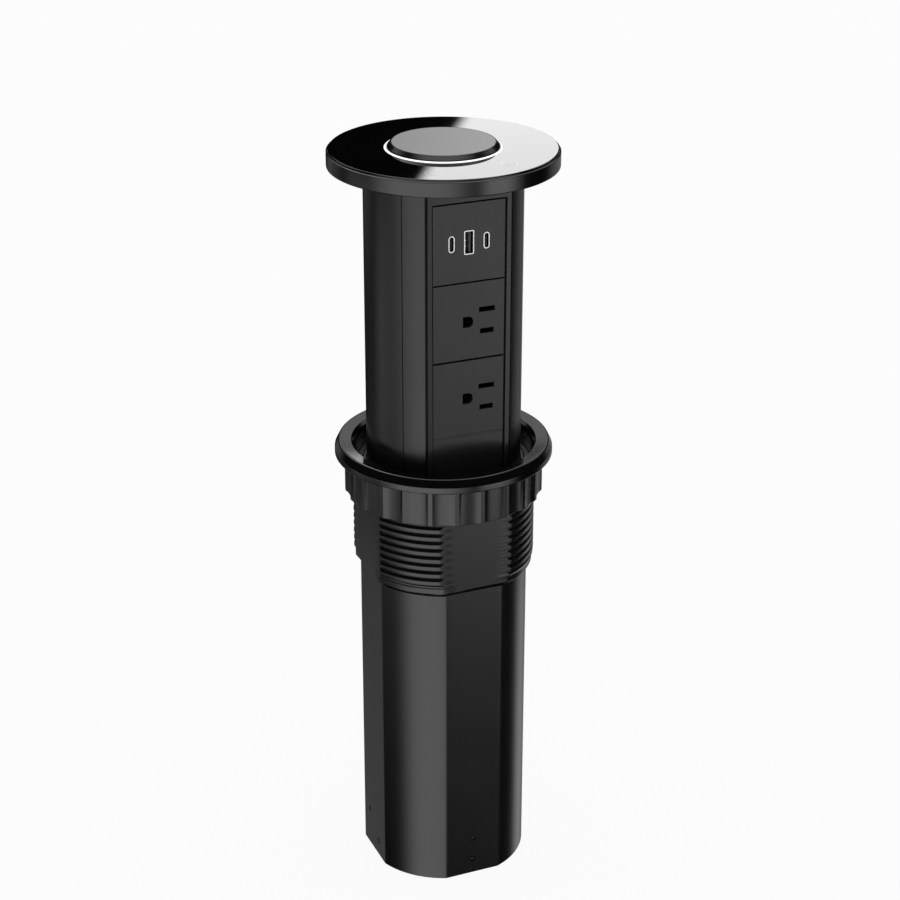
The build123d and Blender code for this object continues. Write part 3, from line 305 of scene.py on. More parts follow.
def place_piece(name, points, faces, node, sharp=35.0, slot=None):
    """A mesh object from points and faces that stands for a node and moves with its body."""
    slot = slot or SLOT_OF[node]
    mesh = bpy.data.meshes.new(name)
    mesh.from_pydata(points.reshape(-1, 3).tolist(), [], faces)
    mesh.validate()
    mesh.update()
    piece = bpy.data.objects.new(name, mesh)
    bpy.context.scene.collection.objects.link(piece)
    mesh.materials.append(FINISHES[slot])
    mesh.shade_smooth()
    mesh.set_sharp_from_angle(angle=math.radians(sharp))
    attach(piece, frame["nodes"][node]["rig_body"])
    return piece


def grid_faces(rows, columns, wrap_rows):
    """Quads between the neighbours of a grid whose columns go round, as an index array."""
    row = np.arange(rows if wrap_rows else rows - 1)
    here, there = np.meshgrid(row, np.arange(columns), indexing="ij")
    up, on = (here + 1) % rows, (there + 1) % columns
    corners = (here * columns + there, here * columns + on, up * columns + on, up * columns + there)
    return np.stack(corners, axis=-1).reshape(-1, 4)


def grid_piece(name, grid, node, wrap_rows=True, sharp=35.0, slot=None):
    """A piece from a grid of points, with doubled points at poles and clamped rows merged."""
    faces = grid_faces(*grid.shape[:2], wrap_rows)
    flat = np.round(grid.reshape(-1, 3), 7)
    points, first = np.unique(flat, axis=0, return_inverse=True)
    faces = first.reshape(-1)[faces]
    kept = []
    for face in faces.tolist():
        ring = list(dict.fromkeys(face))
        if len(ring) > 2:
            kept.append(ring)
    return place_piece(name, points, kept, node, sharp=sharp, slot=slot)


# Share of a side that a corner may take, and where the point stands that keeps the side flat
LONGEST_CUT = 0.45
SUPPORT = 0.1


def rings(rows, angle):
    """Grid of points from rows of (radius at each angle, height), each row going round Z once."""
    turned_rows = [(radius * np.cos(angle), radius * np.sin(angle), z + 0 * angle) for radius, z in rows]
    return np.array([np.stack(row, axis=-1) for row in turned_rows])


def once_round(steps):
    """Angles of one whole turn, without its end."""
    return np.linspace(0, TURN, steps, endpoint=False)


def rounded(corners, radius, steps=4):
    """A closed profile with every corner cut back by the radius and bridged by a short arc."""
    corners = np.array(corners, float)
    radii = np.broadcast_to(radius, len(corners))
    line = []
    around = zip(np.roll(corners, 1, 0), corners, np.roll(corners, -1, 0), radii)
    for before, corner, after, bend in around:
        back, on = before - corner, after - corner
        reach_back, reach_on = np.hypot(*back), np.hypot(*on)
        if bend == 0:
            line.append(corner)
            continue
        cut = min(bend, LONGEST_CUT * reach_back, LONGEST_CUT * reach_on)
        start, end = corner + back / reach_back * cut, corner + on / reach_on * cut
        share = np.linspace(0, 1, steps + 1)[:, None]
        line.append(start + SUPPORT * (start - corner))
        line.extend((1 - share) ** 2 * start + 2 * share * (1 - share) * corner + share**2 * end)
        line.append(end + SUPPORT * (end - corner))
    return np.array(line)


def turned(name, profile, node, segments=192):
    """A lathe piece: each profile point (radius, height) goes round Z once."""
    piece = grid_piece(name, rings(profile, once_round(segments)), node)
    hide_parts(node)
    return piece


def flatted_radius(angle, radius, flat, corner=0.12 * MM):
    """Distance to a circle cut by four flats: a soft minimum of the circle and the nearest flat."""
    nearest = (angle + TURN / 8) % (TURN / 4) - TURN / 8
    to_flat = flat / np.cos(nearest)
    to_circle = np.exp(-(radius - flat) / corner)
    return flat - corner * np.log(to_circle + np.exp(-(to_flat - flat) / corner))


# ---------------------------------------------------------------- desk fitting and tube

TUBE_RADIUS = 49.4 * MM
TUBE_BORE = 47.4 * MM
TUBE_FLAT_WALL = 0.9 * MM
TUBE_EDGE = 0.3 * MM
TUBE_STEPS = 720


def make_tube():
    """Lower tube: the flatted circle outside and inside, carried from the foot to the top."""
    angle = once_round(TUBE_STEPS)
    outside = flatted_radius(angle, TUBE_RADIUS, TUBE_FLAT)
    inside = flatted_radius(angle, TUBE_BORE, TUBE_FLAT - TUBE_FLAT_WALL)
    foot, top = low("lower_tube").z, high("lower_tube").z
    rows = [
        (inside, foot),
        (outside - TUBE_EDGE, foot),
        (outside, foot + TUBE_EDGE),
        (outside, top),
        (inside, top),
    ]
    piece = grid_piece("tube_wall", rings(rows, angle), "lower_tube", sharp=20)
    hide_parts("lower_tube")


make_tube()

THREAD_PITCH = 4.7 * MM
THREAD_ROOT = 52.4 * MM
THREAD_CREST = 53.4 * MM
THREAD_FOOT = LIP - 73.6 * MM

# Shares of one pitch: where the thread starts, its corners from the root up, how soft they are,
# how much of a pitch it takes to fade at the foot, and where the rows of points stand
THREAD_START = 0.84
THREAD_CORNERS = (0, 0.11, 0.58, 0.97, 1)
THREAD_RIDGE = (0, 1, 1, 0, 0)
THREAD_SOFTNESS = 0.02
THREAD_FADE = 0.4
LOWER_FLANK_PHASES = (0, 0.015, 0.055, 0.095, 0.11, 0.125, 0.15)
CREST_PHASES = (0.35, 0.55, 0.57, 0.58, 0.59, 0.61)
UPPER_FLANK_PHASES = (0.69, 0.77, 0.85, 0.93, 0.955, 0.97, 0.985)
THREAD_PHASES = np.array(LOWER_FLANK_PHASES + CREST_PHASES + UPPER_FLANK_PHASES)
COLLAR_GAP = 0.05 * MM
COLLAR_ARC_STEPS = 40
COLLAR_FLAT_STEPS = 6


def thread_radius(phase, height):
    """Root plus a ridge: steep below, upright at the crest, a long slope above, fading at the foot."""
    near = phase[..., None] + np.linspace(-THREAD_SOFTNESS, THREAD_SOFTNESS, 5)
    ridge = np.interp(near % 1.0, THREAD_CORNERS, THREAD_RIDGE).mean(-1)
    fade = np.clip((height - THREAD_FOOT) / (THREAD_FADE * THREAD_PITCH), 0, 1)
    return THREAD_ROOT + (THREAD_CREST - THREAD_ROOT) * ridge * fade


def make_collar():
    """Collar: rows that climb with the thread, an arc in each quarter and the flat between two arcs.

    The arc ends where the thread's radius meets the flat. That changes the height of the row there,
    and so the radius, which four rounds settle.
    """
    foot, top = COLLAR_LOW, COLLAR_HIGH
    turns = math.ceil((top - foot) / THREAD_PITCH) + 3
    lowest = math.floor((foot - LIP) / THREAD_PITCH) - 1
    phases = (np.arange(turns)[:, None] + THREAD_PHASES[None, :]).reshape(-1, 1) + lowest
    arc = np.linspace(0, 1, COLLAR_ARC_STEPS)[None, :]
    flat = np.linspace(0, 1, COLLAR_FLAT_STEPS)[None, 1:-1, None]
    columns = []
    for quarter in range(4):
        start = quarter * TURN / 4
        angle = start + TURN / 8 + (arc - 0.5) * TURN / 8 + 0 * phases
        for _ in range(4):
            rise = THREAD_PITCH * (phases - THREAD_START + angle / TURN)
            heights = np.clip(LIP + rise, foot, top)
            phase = (heights - LIP) / THREAD_PITCH - angle / TURN + THREAD_START
            radius = thread_radius(phase, heights)
            edge = np.arccos(COLLAR_FLAT / radius)
            angle = start + edge + arc * (TURN / 4 - 2 * edge)
        radius = np.minimum(radius, heights - foot + TUBE_RADIUS)
        columns.append(np.stack([radius * np.cos(angle), radius * np.sin(angle), heights], -1))
    bands = []
    for quarter in range(4):
        here, there = columns[quarter], columns[(quarter + 1) % 4]
        bands.extend([here, here[:, -1:] * (1 - flat) + there[:, :1] * flat])
    outside = np.concatenate(bands, axis=1)
    turn = np.arctan2(outside[0, :, 1], outside[0, :, 0])
    bore = flatted_radius(turn, TUBE_RADIUS, TUBE_FLAT) + COLLAR_GAP
    inside = rings([(bore, top), (bore, foot)], turn)
    piece = grid_piece("collar_thread", np.concatenate([outside, inside]), "threaded_collar", sharp=30)
    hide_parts("threaded_collar")


make_collar()

FLANGE_RADIUS = high("desk_flange").x
FLANGE_EDGE_TOP = LIP - 4.6 * MM
FLANGE_UNDER = LIP - 8.2 * MM
FLANGE_TOP_EDGE = 61.2 * MM
CROWN_RADIUS = 53.9 * MM
CROWN_DROP = 0.8 * MM
INNER_LIP = 51.4 * MM
INNER_LIP_DROP = 3.6 * MM
DISH_RADIUS = 50.4 * MM
DISH_WALL = 52.6 * MM
DISH_FOOT = low("desk_flange").z
DISH_FLOOR = DISH_FOOT + 2.0 * MM
DISH_BORE = COLUMN_RADIUS + 0.6 * MM
FLANGE_STEPS = 256


def make_flange():
    """Desk flange: ring that leans into the dish from its crown, sloping edge, dish wall and floor.

    The profile's corners (radius, height, bend) are turned once round the axis.
    """
    corners = np.array(
        [
            (CROWN_RADIUS, LIP - CROWN_DROP, 0.12 * MM),
            (FLANGE_TOP_EDGE, LIP, 0.9 * MM),
            (FLANGE_RADIUS, FLANGE_EDGE_TOP, 0.4 * MM),
            (FLANGE_RADIUS, FLANGE_UNDER, 0.5 * MM),
            (DISH_WALL, FLANGE_UNDER, 0.2 * MM),
            (DISH_WALL, DISH_FOOT, 0.2 * MM),
            (DISH_BORE, DISH_FOOT, 0.2 * MM),
            (DISH_BORE, DISH_FLOOR, 0.2 * MM),
            (DISH_RADIUS, DISH_FLOOR, 0.6 * MM),
            (INNER_LIP, LIP - INNER_LIP_DROP, 1.4 * MM),
        ]
    )[::-1]
    profile = rounded(corners[:, :2], corners[:, 2], steps=6)
    piece = turned("flange_ring", profile, "desk_flange", segments=FLANGE_STEPS)
    piece.data.materials[0] = FINISHES["flange_black"]


make_flange()

WIPER_TOP = high("wiper_ring").z
WIPER_LIP = 0.6 * MM
WIPER_LIP_TOP = 1.4 * MM
WIPER_LIP_FOOT = 2.0 * MM
WIPER_BEND = 0.3 * MM
WIPER_CLEARANCE = 0.3 * MM


def make_wiper():
    """Wiper ring: a flat rubber seat with a rounded lip at the column."""
    bore, rim = COLUMN_RADIUS + WIPER_CLEARANCE, high("wiper_ring").x
    foot = low("wiper_ring").z
    corners = [
        (bore, WIPER_TOP),
        (bore + WIPER_LIP_TOP, WIPER_TOP),
        (bore + WIPER_LIP_FOOT, WIPER_TOP - WIPER_LIP),
        (rim, WIPER_TOP - WIPER_LIP),
        (rim, foot),
        (bore + WIPER_LIP, foot),
    ]
    turned("wiper_lip", rounded(corners[::-1], WIPER_BEND), "wiper_ring")


make_wiper()

NUT_RADIUS = high("lock_nut").x
NUT_BORE = 53.7 * MM
FLUTES = 24
FLUTE_DEPTH = 1.3 * MM
RIDGE_WIDTH = 2.4 * MM
NUT_BAND = 1.3 * MM
NUT_EDGE = 0.5 * MM
NUT_ROUND = 0.4 * MM
FLUTE_BOW = 2.5
FLUTE_STEPS = 17
WASHER_SEAT = 56.15 * MM
WASHER_DEPTH = 1.05 * MM


def make_nut():
    """Lock nut: a ring whose outer wall is scalloped below its smooth top band.

    Across each flute the wall is bitten by the depth times one less the distance from the
    flute's middle to the power of the bow; the ridges between the flutes aren't bitten.
    """
    step = TURN / FLUTES
    half = (step - RIDGE_WIDTH / NUT_RADIUS) / 2
    across = np.concatenate([[0], step / 2 + half * np.linspace(-1, 1, FLUTE_STEPS)])
    angle = (np.arange(FLUTES)[:, None] * step + across).reshape(-1)
    from_middle = (angle % step) - step / 2
    bite = FLUTE_DEPTH * np.clip(1 - np.abs(from_middle / half) ** FLUTE_BOW, 0, None)
    top, foot, band = NUT_HIGH, NUT_LOW, NUT_HIGH - NUT_BAND
    full = NUT_RADIUS + 0 * angle
    bore, seat = NUT_BORE + 0 * angle, WASHER_SEAT + 0 * angle
    rows = [
        (bore, foot),
        (full - bite - NUT_ROUND, foot),
        (full - bite - 0.3 * NUT_ROUND, foot + 0.3 * NUT_ROUND),
        (full - bite, foot + NUT_ROUND),
        (full - bite, band - NUT_ROUND),
        (full - 0.75 * bite, band - 0.2 * NUT_ROUND),
        (full - 0.2 * bite, band + 0.1 * NUT_ROUND),
        (full, band + NUT_ROUND),
        (full, top - 1.6 * NUT_EDGE),
        (full - 0.24 * NUT_EDGE, top - NUT_EDGE),
        (full - 0.8 * NUT_EDGE, top - 0.2 * NUT_EDGE),
        (full - 1.4 * NUT_EDGE, top),
        (seat, top),
        (seat, top - WASHER_DEPTH),
        (bore, top - WASHER_DEPTH),
    ]
    piece = grid_piece("nut_scallops", rings(rows, angle), "lock_nut", sharp=18)
    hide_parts("lock_nut")


make_nut()

# ---------------------------------------------------------------- column and head

CHANNEL_HALF = 26.0 * MM
COLUMN_WALL = 2.2 * MM
SEAM_ANGLE = math.radians(52.8)
SEAM_HALF = 0.35 * MM
SEAM_DEPTH = 0.5 * MM
SHELL_EDGE = 0.5 * MM
LIP_REACH = 5.2 * MM
LIP_FRONT = -FRAME_FACE - 2.05 * MM
LIP_THICK = 2.2 * MM
NECK_HEIGHT = 1.3 * MM
NECK_INSET = 0.8 * MM
LIP_TURN = 0.12
SHELL_END_EDGE = 0.15 * MM
SHELL_FRONT_STEPS = 14
SHELL_BACK_STEPS = 90
SHELL_INNER_STEPS = 60
MIRROR = np.array([-1.0, 1.0])


def shell_outline():
    """One side of the shell's section from the channel lip round to the back, then mirrored."""
    channel_angle = math.asin(CHANNEL_HALF / COLUMN_RADIUS)
    nose = math.asin((CHANNEL_HALF + SHELL_EDGE) / COLUMN_RADIUS)
    seam_width = SEAM_HALF / COLUMN_RADIUS
    before = np.linspace(nose, SEAM_ANGLE - 2 * seam_width, SHELL_FRONT_STEPS)
    after = np.linspace(SEAM_ANGLE + 2 * seam_width, math.pi, SHELL_BACK_STEPS)
    groove = np.array([-1.0, -0.8, 0.8, 1.0]) * seam_width + SEAM_ANGLE
    sink = np.array([0.0, 1.0, 1.0, 0.0]) * SEAM_DEPTH
    angle = np.concatenate([before, groove, after])
    radius = COLUMN_RADIUS - np.concatenate([0 * before, sink, 0 * after])
    outer = np.stack([radius * np.sin(angle), -radius * np.cos(angle)], -1)
    corner_y = -COLUMN_RADIUS * math.cos(channel_angle)
    share = np.linspace(0, 1, 6)[:-1, None]
    start = np.array([CHANNEL_HALF, corner_y + SHELL_EDGE])
    middle = np.array([CHANNEL_HALF, corner_y])
    blend = (1 - share) ** 2 * start + 2 * share * (1 - share) * middle + share**2 * outer[0]
    lip_in = CHANNEL_HALF - LIP_REACH
    front, back = -LIP_FRONT, LIP_THICK - LIP_FRONT
    lip = np.array([(lip_in, back), (lip_in, front), (CHANNEL_HALF, front)])
    inner_radius = COLUMN_RADIUS - COLUMN_WALL
    inner_start = math.asin(CHANNEL_HALF / inner_radius) + LIP_TURN
    inner_angle = np.linspace(math.pi, inner_start, SHELL_INNER_STEPS)
    inner = np.stack([inner_radius * np.sin(inner_angle), -inner_radius * np.cos(inner_angle)], -1)
    return np.concatenate([lip, blend, outer]), inner


def make_shell():
    """Column shell: the outline carried straight up, drawn in at its neck, closed at both ends."""
    outer, inner = shell_outline()
    loop = np.concatenate([outer, outer[-2::-1] * MIRROR, inner[::-1][:-1] * MIRROR, inner])
    neck = COLUMN_HIGH - NECK_HEIGHT
    reach = np.linalg.norm(loop, axis=1, keepdims=True)
    drawn = loop * np.minimum(1, (COLUMN_RADIUS - NECK_INSET) / reach)
    rows = [
        (loop, COLUMN_LOW),
        (loop, COLUMN_LOW + SHELL_END_EDGE),
        (loop, neck - SHELL_END_EDGE),
        (loop, neck),
        (drawn, neck),
        (drawn, COLUMN_HIGH),
    ]
    grid = np.array([np.concatenate([ring, np.full((len(ring), 1), z)], axis=1) for ring, z in rows])
    count = len(loop)
    faces = grid_faces(len(rows), count, False).tolist()
    faces.append(list(range(count))[::-1])
    faces.append([(len(rows) - 1) * count + n for n in range(count)])
    piece = place_piece("shell_wall", grid, faces, "column_shell", sharp=28)
    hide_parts("column_shell")


make_shell()

RIM_RADIUS = high("head_rim").x
RIM_LOW = low("head_rim").z
RIM_HIGH = high("head_rim").z
GLASS_RADIUS = high("glass_panel").x
GLASS_LOW = low("glass_panel").z
RING_RADIUS = high("led_ring").x
RING_TOP = high("led_ring").z
RING_WALL = 0.95 * MM
PUCK_RADIUS = high("charger_puck").x
PUCK_TOP = high("charger_puck").z
PUCK_TOP_RADIUS = 29.2 * MM
PUCK_WALL = 1.6 * MM
PUCK_SHOULDER = 0.6 * MM
PAD_RADIUS = high("puck_pad").x
PAD_DEPTH = 0.8 * MM
GLASS_SEAT_GAP = 0.28 * MM
GLASS_CHAMFER = 0.5 * MM
RIM_FLOOR = 2.0 * MM
RIM_WALL = 2.3 * MM
RIM_CHAMFER_DROP = 0.38 * MM
RIM_CHAMFER_WIDTH = 0.65 * MM
SMALL_GAP = 0.05 * MM
HEAD_STEPS = 320
PUCK_STEPS = 256


def lathe_piece(name, node, segments, *corners):
    """A turned piece from the corners (radius, height, bend) of its profile."""
    corners = np.array(corners, float)
    turned(name, rounded(corners[:, :2], corners[:, 2]), node, segments=segments)


def make_head():
    """Head: rim, glass, light ring and puck, each a turned profile."""
    seat = GLASS_RADIUS + GLASS_SEAT_GAP
    floor, wall = RIM_LOW + RIM_FLOOR, RIM_RADIUS - RIM_WALL
    lathe_piece(
        "rim_wall",
        "head_rim",
        HEAD_STEPS,
        (0, RIM_LOW, 0),
        (RIM_RADIUS, RIM_LOW, 0.6 * MM),
        (RIM_RADIUS, RIM_HIGH - RIM_CHAMFER_DROP, 0.2 * MM),
        (RIM_RADIUS - RIM_CHAMFER_WIDTH, RIM_HIGH, 0.03 * MM),
        (seat, RIM_HIGH, 0),
        (seat, GLASS_LOW, 0),
        (wall, GLASS_LOW, 0),
        (wall, floor, 0),
        (0, floor, 0),
    )
    inner = RING_RADIUS + SMALL_GAP
    lathe_piece(
        "glass_disc",
        "glass_panel",
        HEAD_STEPS,
        (inner, GLASS_LOW, 0),
        (GLASS_RADIUS, GLASS_LOW, 0),
        (GLASS_RADIUS, GLASS_TOP - GLASS_CHAMFER, 0.2 * MM),
        (GLASS_RADIUS - GLASS_CHAMFER, GLASS_TOP, 0.15 * MM),
        (inner, GLASS_TOP, 0.05 * MM),
    )
    foot = low("led_ring").z
    lathe_piece(
        "light_ring",
        "led_ring",
        PUCK_STEPS,
        (RING_RADIUS - RING_WALL, foot, 0),
        (RING_RADIUS, foot, 0),
        (RING_RADIUS, GLASS_TOP + SMALL_GAP, 0.1 * MM),
        (RING_RADIUS - RING_WALL, RING_TOP, 0.1 * MM),
    )
    foot, recess = low("charger_puck").z, PUCK_TOP - PAD_DEPTH
    lathe_piece(
        "puck_shell",
        "charger_puck",
        PUCK_STEPS,
        (0, recess - PUCK_WALL, 0),
        (PUCK_RADIUS - PUCK_WALL, recess - PUCK_WALL, 0),
        (PUCK_RADIUS - PUCK_WALL, foot, 0),
        (PUCK_RADIUS, foot, 0),
        (PUCK_RADIUS, GLASS_TOP + PUCK_SHOULDER, 0.5 * MM),
        (PUCK_TOP_RADIUS, PUCK_TOP, 0.25 * MM),
        (PAD_RADIUS + SMALL_GAP, PUCK_TOP, 0),
        (PAD_RADIUS + SMALL_GAP, recess, 0),
        (0, recess, 0),
    )
    lathe_piece(
        "puck_face",
        "puck_pad",
        PUCK_STEPS,
        (0, recess, 0),
        (PAD_RADIUS, recess, 0),
        (PAD_RADIUS, PUCK_TOP, 0.15 * MM),
        (0, PUCK_TOP, 0),
    )


make_head()

# ---------------------------------------------------------------- frame, plates and ports


def merged_copy(node):
    """The node's CAD mesh with its loose triangles joined and its flat faces made whole."""
    form = bmesh.new()
    form.from_mesh(frame["nodes"][node].data)
    bmesh.ops.remove_doubles(form, verts=form.verts, dist=1e-6)
    bmesh.ops.dissolve_limit(form, angle_limit=math.radians(0.5), verts=form.verts, edges=form.edges)
    return form


def finish_copy(name, form, node, width):
    """A merged copy as a piece with softened edges that stands for its node."""
    mesh = bpy.data.meshes.new(name)
    form.to_mesh(mesh)
    form.free()
    piece = bpy.data.objects.new(name, mesh)
    bpy.context.scene.collection.objects.link(piece)
    mesh.materials.append(FINISHES[SLOT_OF[node]])
    mesh.shade_smooth()
    bevel = piece.modifiers.new("edges", "BEVEL")
    bevel.width = width
    bevel.segments = 2
    bevel.limit_method = "ANGLE"
    bevel.angle_limit = math.radians(35)
    bevel.use_clamp_overlap = True
    even = piece.modifiers.new("even", "WEIGHTED_NORMAL")
    even.weight = 100
    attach(piece, frame["nodes"][node]["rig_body"])
    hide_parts(node)


STRIP_LEAN = 0.15 * MM
WINDOW_HALF = 22.15 * MM
WINDOW_LOW = low("blank_plate").z
WINDOW_HIGH = COLUMN_HIGH - 11.1 * MM
FRAME_BACK = high("front_frame").y
FRAME_SOFT = 0.22 * MM


def make_frame():
    """Front frame: a bar carried round the window, its strips leaned back at their outer edges."""
    soft = FRAME_SOFT
    inner = (WINDOW_HALF, WINDOW_LOW, WINDOW_HIGH)
    outer = (FRAME_HALF, low("front_frame").z, high("front_frame").z - NECK_HEIGHT)
    section = [
        (inner, 0, FRAME_BACK),
        (inner, 0, FRAME_FACE + soft),
        (inner, 0.3 * soft, FRAME_FACE + 0.3 * soft),
        (inner, soft, FRAME_FACE),
        (inner, 1.2 * soft, FRAME_FACE),
        (outer, -1.2 * soft, FRAME_FACE),
        (outer, -soft, FRAME_FACE),
        (outer, -0.3 * soft, FRAME_FACE + 0.3 * soft),
        (outer, 0, FRAME_FACE + soft),
        (outer, 0, FRAME_BACK),
    ]
    bar = []
    for (half, foot, top), grow, level in section:
        lean = STRIP_LEAN * max(0.0, (half + grow - WINDOW_HALF) / (FRAME_HALF - WINDOW_HALF))
        depth = level + (lean if level < FRAME_BACK else 0)
        corners = [(-1, foot - grow), (1, foot - grow), (1, top + grow), (-1, top + grow)]
        bar.append([(side * (half + grow), depth, height) for side, height in corners])
    piece = grid_piece("frame_bar", np.array(bar), "front_frame", sharp=40)
    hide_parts("front_frame")
    foot, top = COLUMN_HIGH - NECK_HEIGHT - SMALL_GAP, high("front_frame").z
    neck = []
    for share, height in ((0.0, foot), (1.0, foot), (1.0, top), (0.0, top)):
        across = share * FRAME_HALF
        front = FRAME_BACK + share * (FRAME_FACE + NECK_INSET - FRAME_BACK)
        corners = [(across, front), (-across, front), (-across, FRAME_BACK), (across, FRAME_BACK)]
        neck.append([(*corner, height) for corner in corners])
    grid_piece("frame_neck", np.array(neck), "front_frame", sharp=30)


make_frame()

for plate, face_name, softness in (
    ("usb_module", "port_face", 0.18),
    ("outlet_upper", "upper_face", 0.3),
    ("outlet_lower", "lower_face", 0.3),
    ("blank_plate", "filler_face", 0.18),
):
    finish_copy(face_name, merged_copy(plate), plate, softness * MM)

FACE = low("usb_module").y


def oblong(width, height, radius, steps=6):
    """Closed loop of an upright rectangle with round corners, always the same number of points."""
    corners = []
    for across, up, start in ((1, 1, 0), (-1, 1, 1), (-1, -1, 2), (1, -1, 3)):
        angle = (start + np.linspace(0, 1, steps + 1)) * TURN / 4
        middle = np.array([across * (width / 2 - radius), up * (height / 2 - radius)])
        corners.append(middle + radius * np.stack([np.cos(angle), np.sin(angle)], -1))
    return np.concatenate(corners)


def stacked(name, node, centre, rows, slot=None):
    """A piece from oblong loops (width, height, corner, depth) set one behind the other along Y."""
    grid = []
    for width, height, radius, depth in rows:
        loop = oblong(width, height, radius)
        level = np.full(len(loop), FACE + depth)
        grid.append(np.stack([centre[0] + loop[:, 0], level, centre[1] + loop[:, 1]], -1))
    return grid_piece(name, np.array(grid)[::-1], node, wrap_rows=False, slot=slot)


PORT_RIM = 0.65 * MM
PORT_SOFT = 0.12 * MM
PORT_RISE = 0.05 * MM
PORT_FLOOR = 0.5 * MM
PORT_A_CORNER = 0.7 * MM
PORT_A_DEPTH = 14 * MM
PORT_C_WIDTH = 3.7 * MM
PORT_C_DEPTH = 8 * MM
SOFT_SHARE = 0.2

# Tongues and springs: how far they stand aside, their width and height or the room they leave
# above and below together, and how deep behind the face they begin and end
A_TONGUE_ASIDE = 0.7 * MM
A_TONGUE_WIDTH = 1.5 * MM
A_TONGUE_ROOM = 2.4 * MM
A_TONGUE_DEPTHS = (1.0 * MM, 13 * MM)
SPRING_ASIDE = 1.0 * MM
SPRING_WIDTH = 1.0 * MM
SPRING_HEIGHT = 0.55 * MM
SPRING_RISES = (1.0 * MM, -2.2 * MM)
SPRING_DEPTHS = (1.0 * MM, 4 * MM)
C_TONGUE_WIDTH = 0.7 * MM
C_TONGUE_ROOM = 3.2 * MM
C_TONGUE_DEPTHS = (0.8 * MM, 7.5 * MM)
A_LOW, A_HIGH = low("usb_a_port"), high("usb_a_port")
C_LOW, C_HIGH = low("usb_c_ports"), high("usb_c_ports")


def port_shell(name, node, centre, width, height, radius, depth):
    """Metal port shell: rounded rim just proud of the face, inner wall and floor."""
    soft, inner = PORT_SOFT, radius - PORT_RIM
    clear_width, clear_height = width - 2 * PORT_RIM, height - 2 * PORT_RIM
    rows = [
        (0, height - width, 0, depth),
        (width, height, radius, depth),
        (width, height, radius, soft),
        (width - soft, height - soft, radius - soft / 2, -PORT_RISE),
        (clear_width + soft, clear_height + soft, inner + soft / 2, -PORT_RISE),
        (clear_width, clear_height, inner, soft),
        (clear_width, clear_height, inner, depth - PORT_FLOOR),
        (0, height - width, 0, depth - PORT_FLOOR),
    ]
    return stacked(name, node, centre, rows)


def port_bar(name, node, centre, width, height, front, back, slot="plastic_dark"):
    """A small bar with softened front edges, such as a port's tongue or spring."""
    soft = min(width, height) * SOFT_SHARE
    line = (max(0.0, width - height), max(0.0, height - width), 0)
    rows = [
        (*line, back),
        (width, height, soft, back),
        (width, height, soft, front + soft),
        (width - soft, height - soft, soft / 2, front),
        (*line, front),
    ]
    return stacked(name, node, centre, rows, slot=slot)


def make_ports():
    """Charging ports: a rectangular shell with tongue and springs, two oval ones with thin tongues."""
    middle = (A_LOW.z + A_HIGH.z) / 2
    width, height = A_HIGH.x - A_LOW.x, A_HIGH.z - A_LOW.z
    centre = (0, middle)
    shell = port_shell(
        "port_a_shell", "usb_a_port", centre, width, height, PORT_A_CORNER, PORT_A_DEPTH
    )
    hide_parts("usb_a_port")
    centre, size = (A_TONGUE_ASIDE, middle), (A_TONGUE_WIDTH, height - A_TONGUE_ROOM)
    port_bar("port_a_tongue", "usb_a_port", centre, *size, *A_TONGUE_DEPTHS, slot="ferrite")
    for rise in SPRING_RISES:
        centre, size = (SPRING_ASIDE - width / 2, middle + rise), (SPRING_WIDTH, SPRING_HEIGHT)
        port_bar("port_a_spring", "usb_a_port", centre, *size, *SPRING_DEPTHS, slot="steel")
    width, height = PORT_C_WIDTH, C_HIGH.z - C_LOW.z
    for side in (-1, 1):
        centre = (side * (C_HIGH.x - width / 2), (C_LOW.z + C_HIGH.z) / 2)
        shell = port_shell(
            "port_c_shell", "usb_c_ports", centre, width, height, width / 2, PORT_C_DEPTH
        )
        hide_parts("usb_c_ports")
        size = (C_TONGUE_WIDTH, height - C_TONGUE_ROOM)
        port_bar("port_c_tongue", "usb_c_ports", centre, *size, *C_TONGUE_DEPTHS)


make_ports()

JOINT_OVERLAP = 0.5 * MM
JOINT_DEPTHS = (0.12 * MM, 1.5 * MM)


def make_plate_joint():
    """Shallow bar that fills the joint between the lower outlet face and the filler plate."""
    upper, lower = low("outlet_lower").z, high("blank_plate").z
    width = high("blank_plate").x - low("blank_plate").x - 2 * SMALL_GAP
    centre, size = (0, (upper + lower) / 2), (width, upper - lower + JOINT_OVERLAP)
    port_bar("plate_joint", "blank_plate", centre, *size, *JOINT_DEPTHS, slot="panel_black")


make_plate_joint()


def make_lead():
    """Coiled lead inside the tube, copied from its node, shaded smooth and moving with the node's body.
    """
    form = merged_copy("supply_lead")
    mesh = bpy.data.meshes.new("lead_coil")
    form.to_mesh(mesh)
    form.free()
    mesh.shade_smooth()
    mesh.set_sharp_from_angle(angle=math.radians(50))
    piece = bpy.data.objects.new("lead_coil", mesh)
    bpy.context.scene.collection.objects.link(piece)
    mesh.materials.append(FINISHES[SLOT_OF["supply_lead"]])
    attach(piece, frame["nodes"]["supply_lead"]["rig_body"])
    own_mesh(piece)
    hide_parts("supply_lead")


make_lead()

# Side of the flat in degrees, place along it and height, in millimetres
SCREW_PLACES = (
    (-90, 0, 25.0),
    (-90, 0, 10.0),
    (90, 0, 25.0),
    (90, 0, 10.0),
    (180, -8.6, 25.0),
    (180, 6.1, 10.0),
    (0, 8.6, 25.0),
    (0, -6.1, 10.0),
)

# Profiles of a screw (radius, height over the flat), in millimetres
# The ring round the head is a disc of painted shade, standing for the dark recess round the screw
SCREW_SHADE_RING = ((0, 0.02), (1.35, 0.02), (1.8, 0.02), (1.85, -0.1))
SCREW_HEAD = ((0, 0.05), (0.45, 0.05), (0.5, 0.13), (0.8, 0.12), (1.1, 0.08), (1.25, 0))
SCREW_STEPS = 32


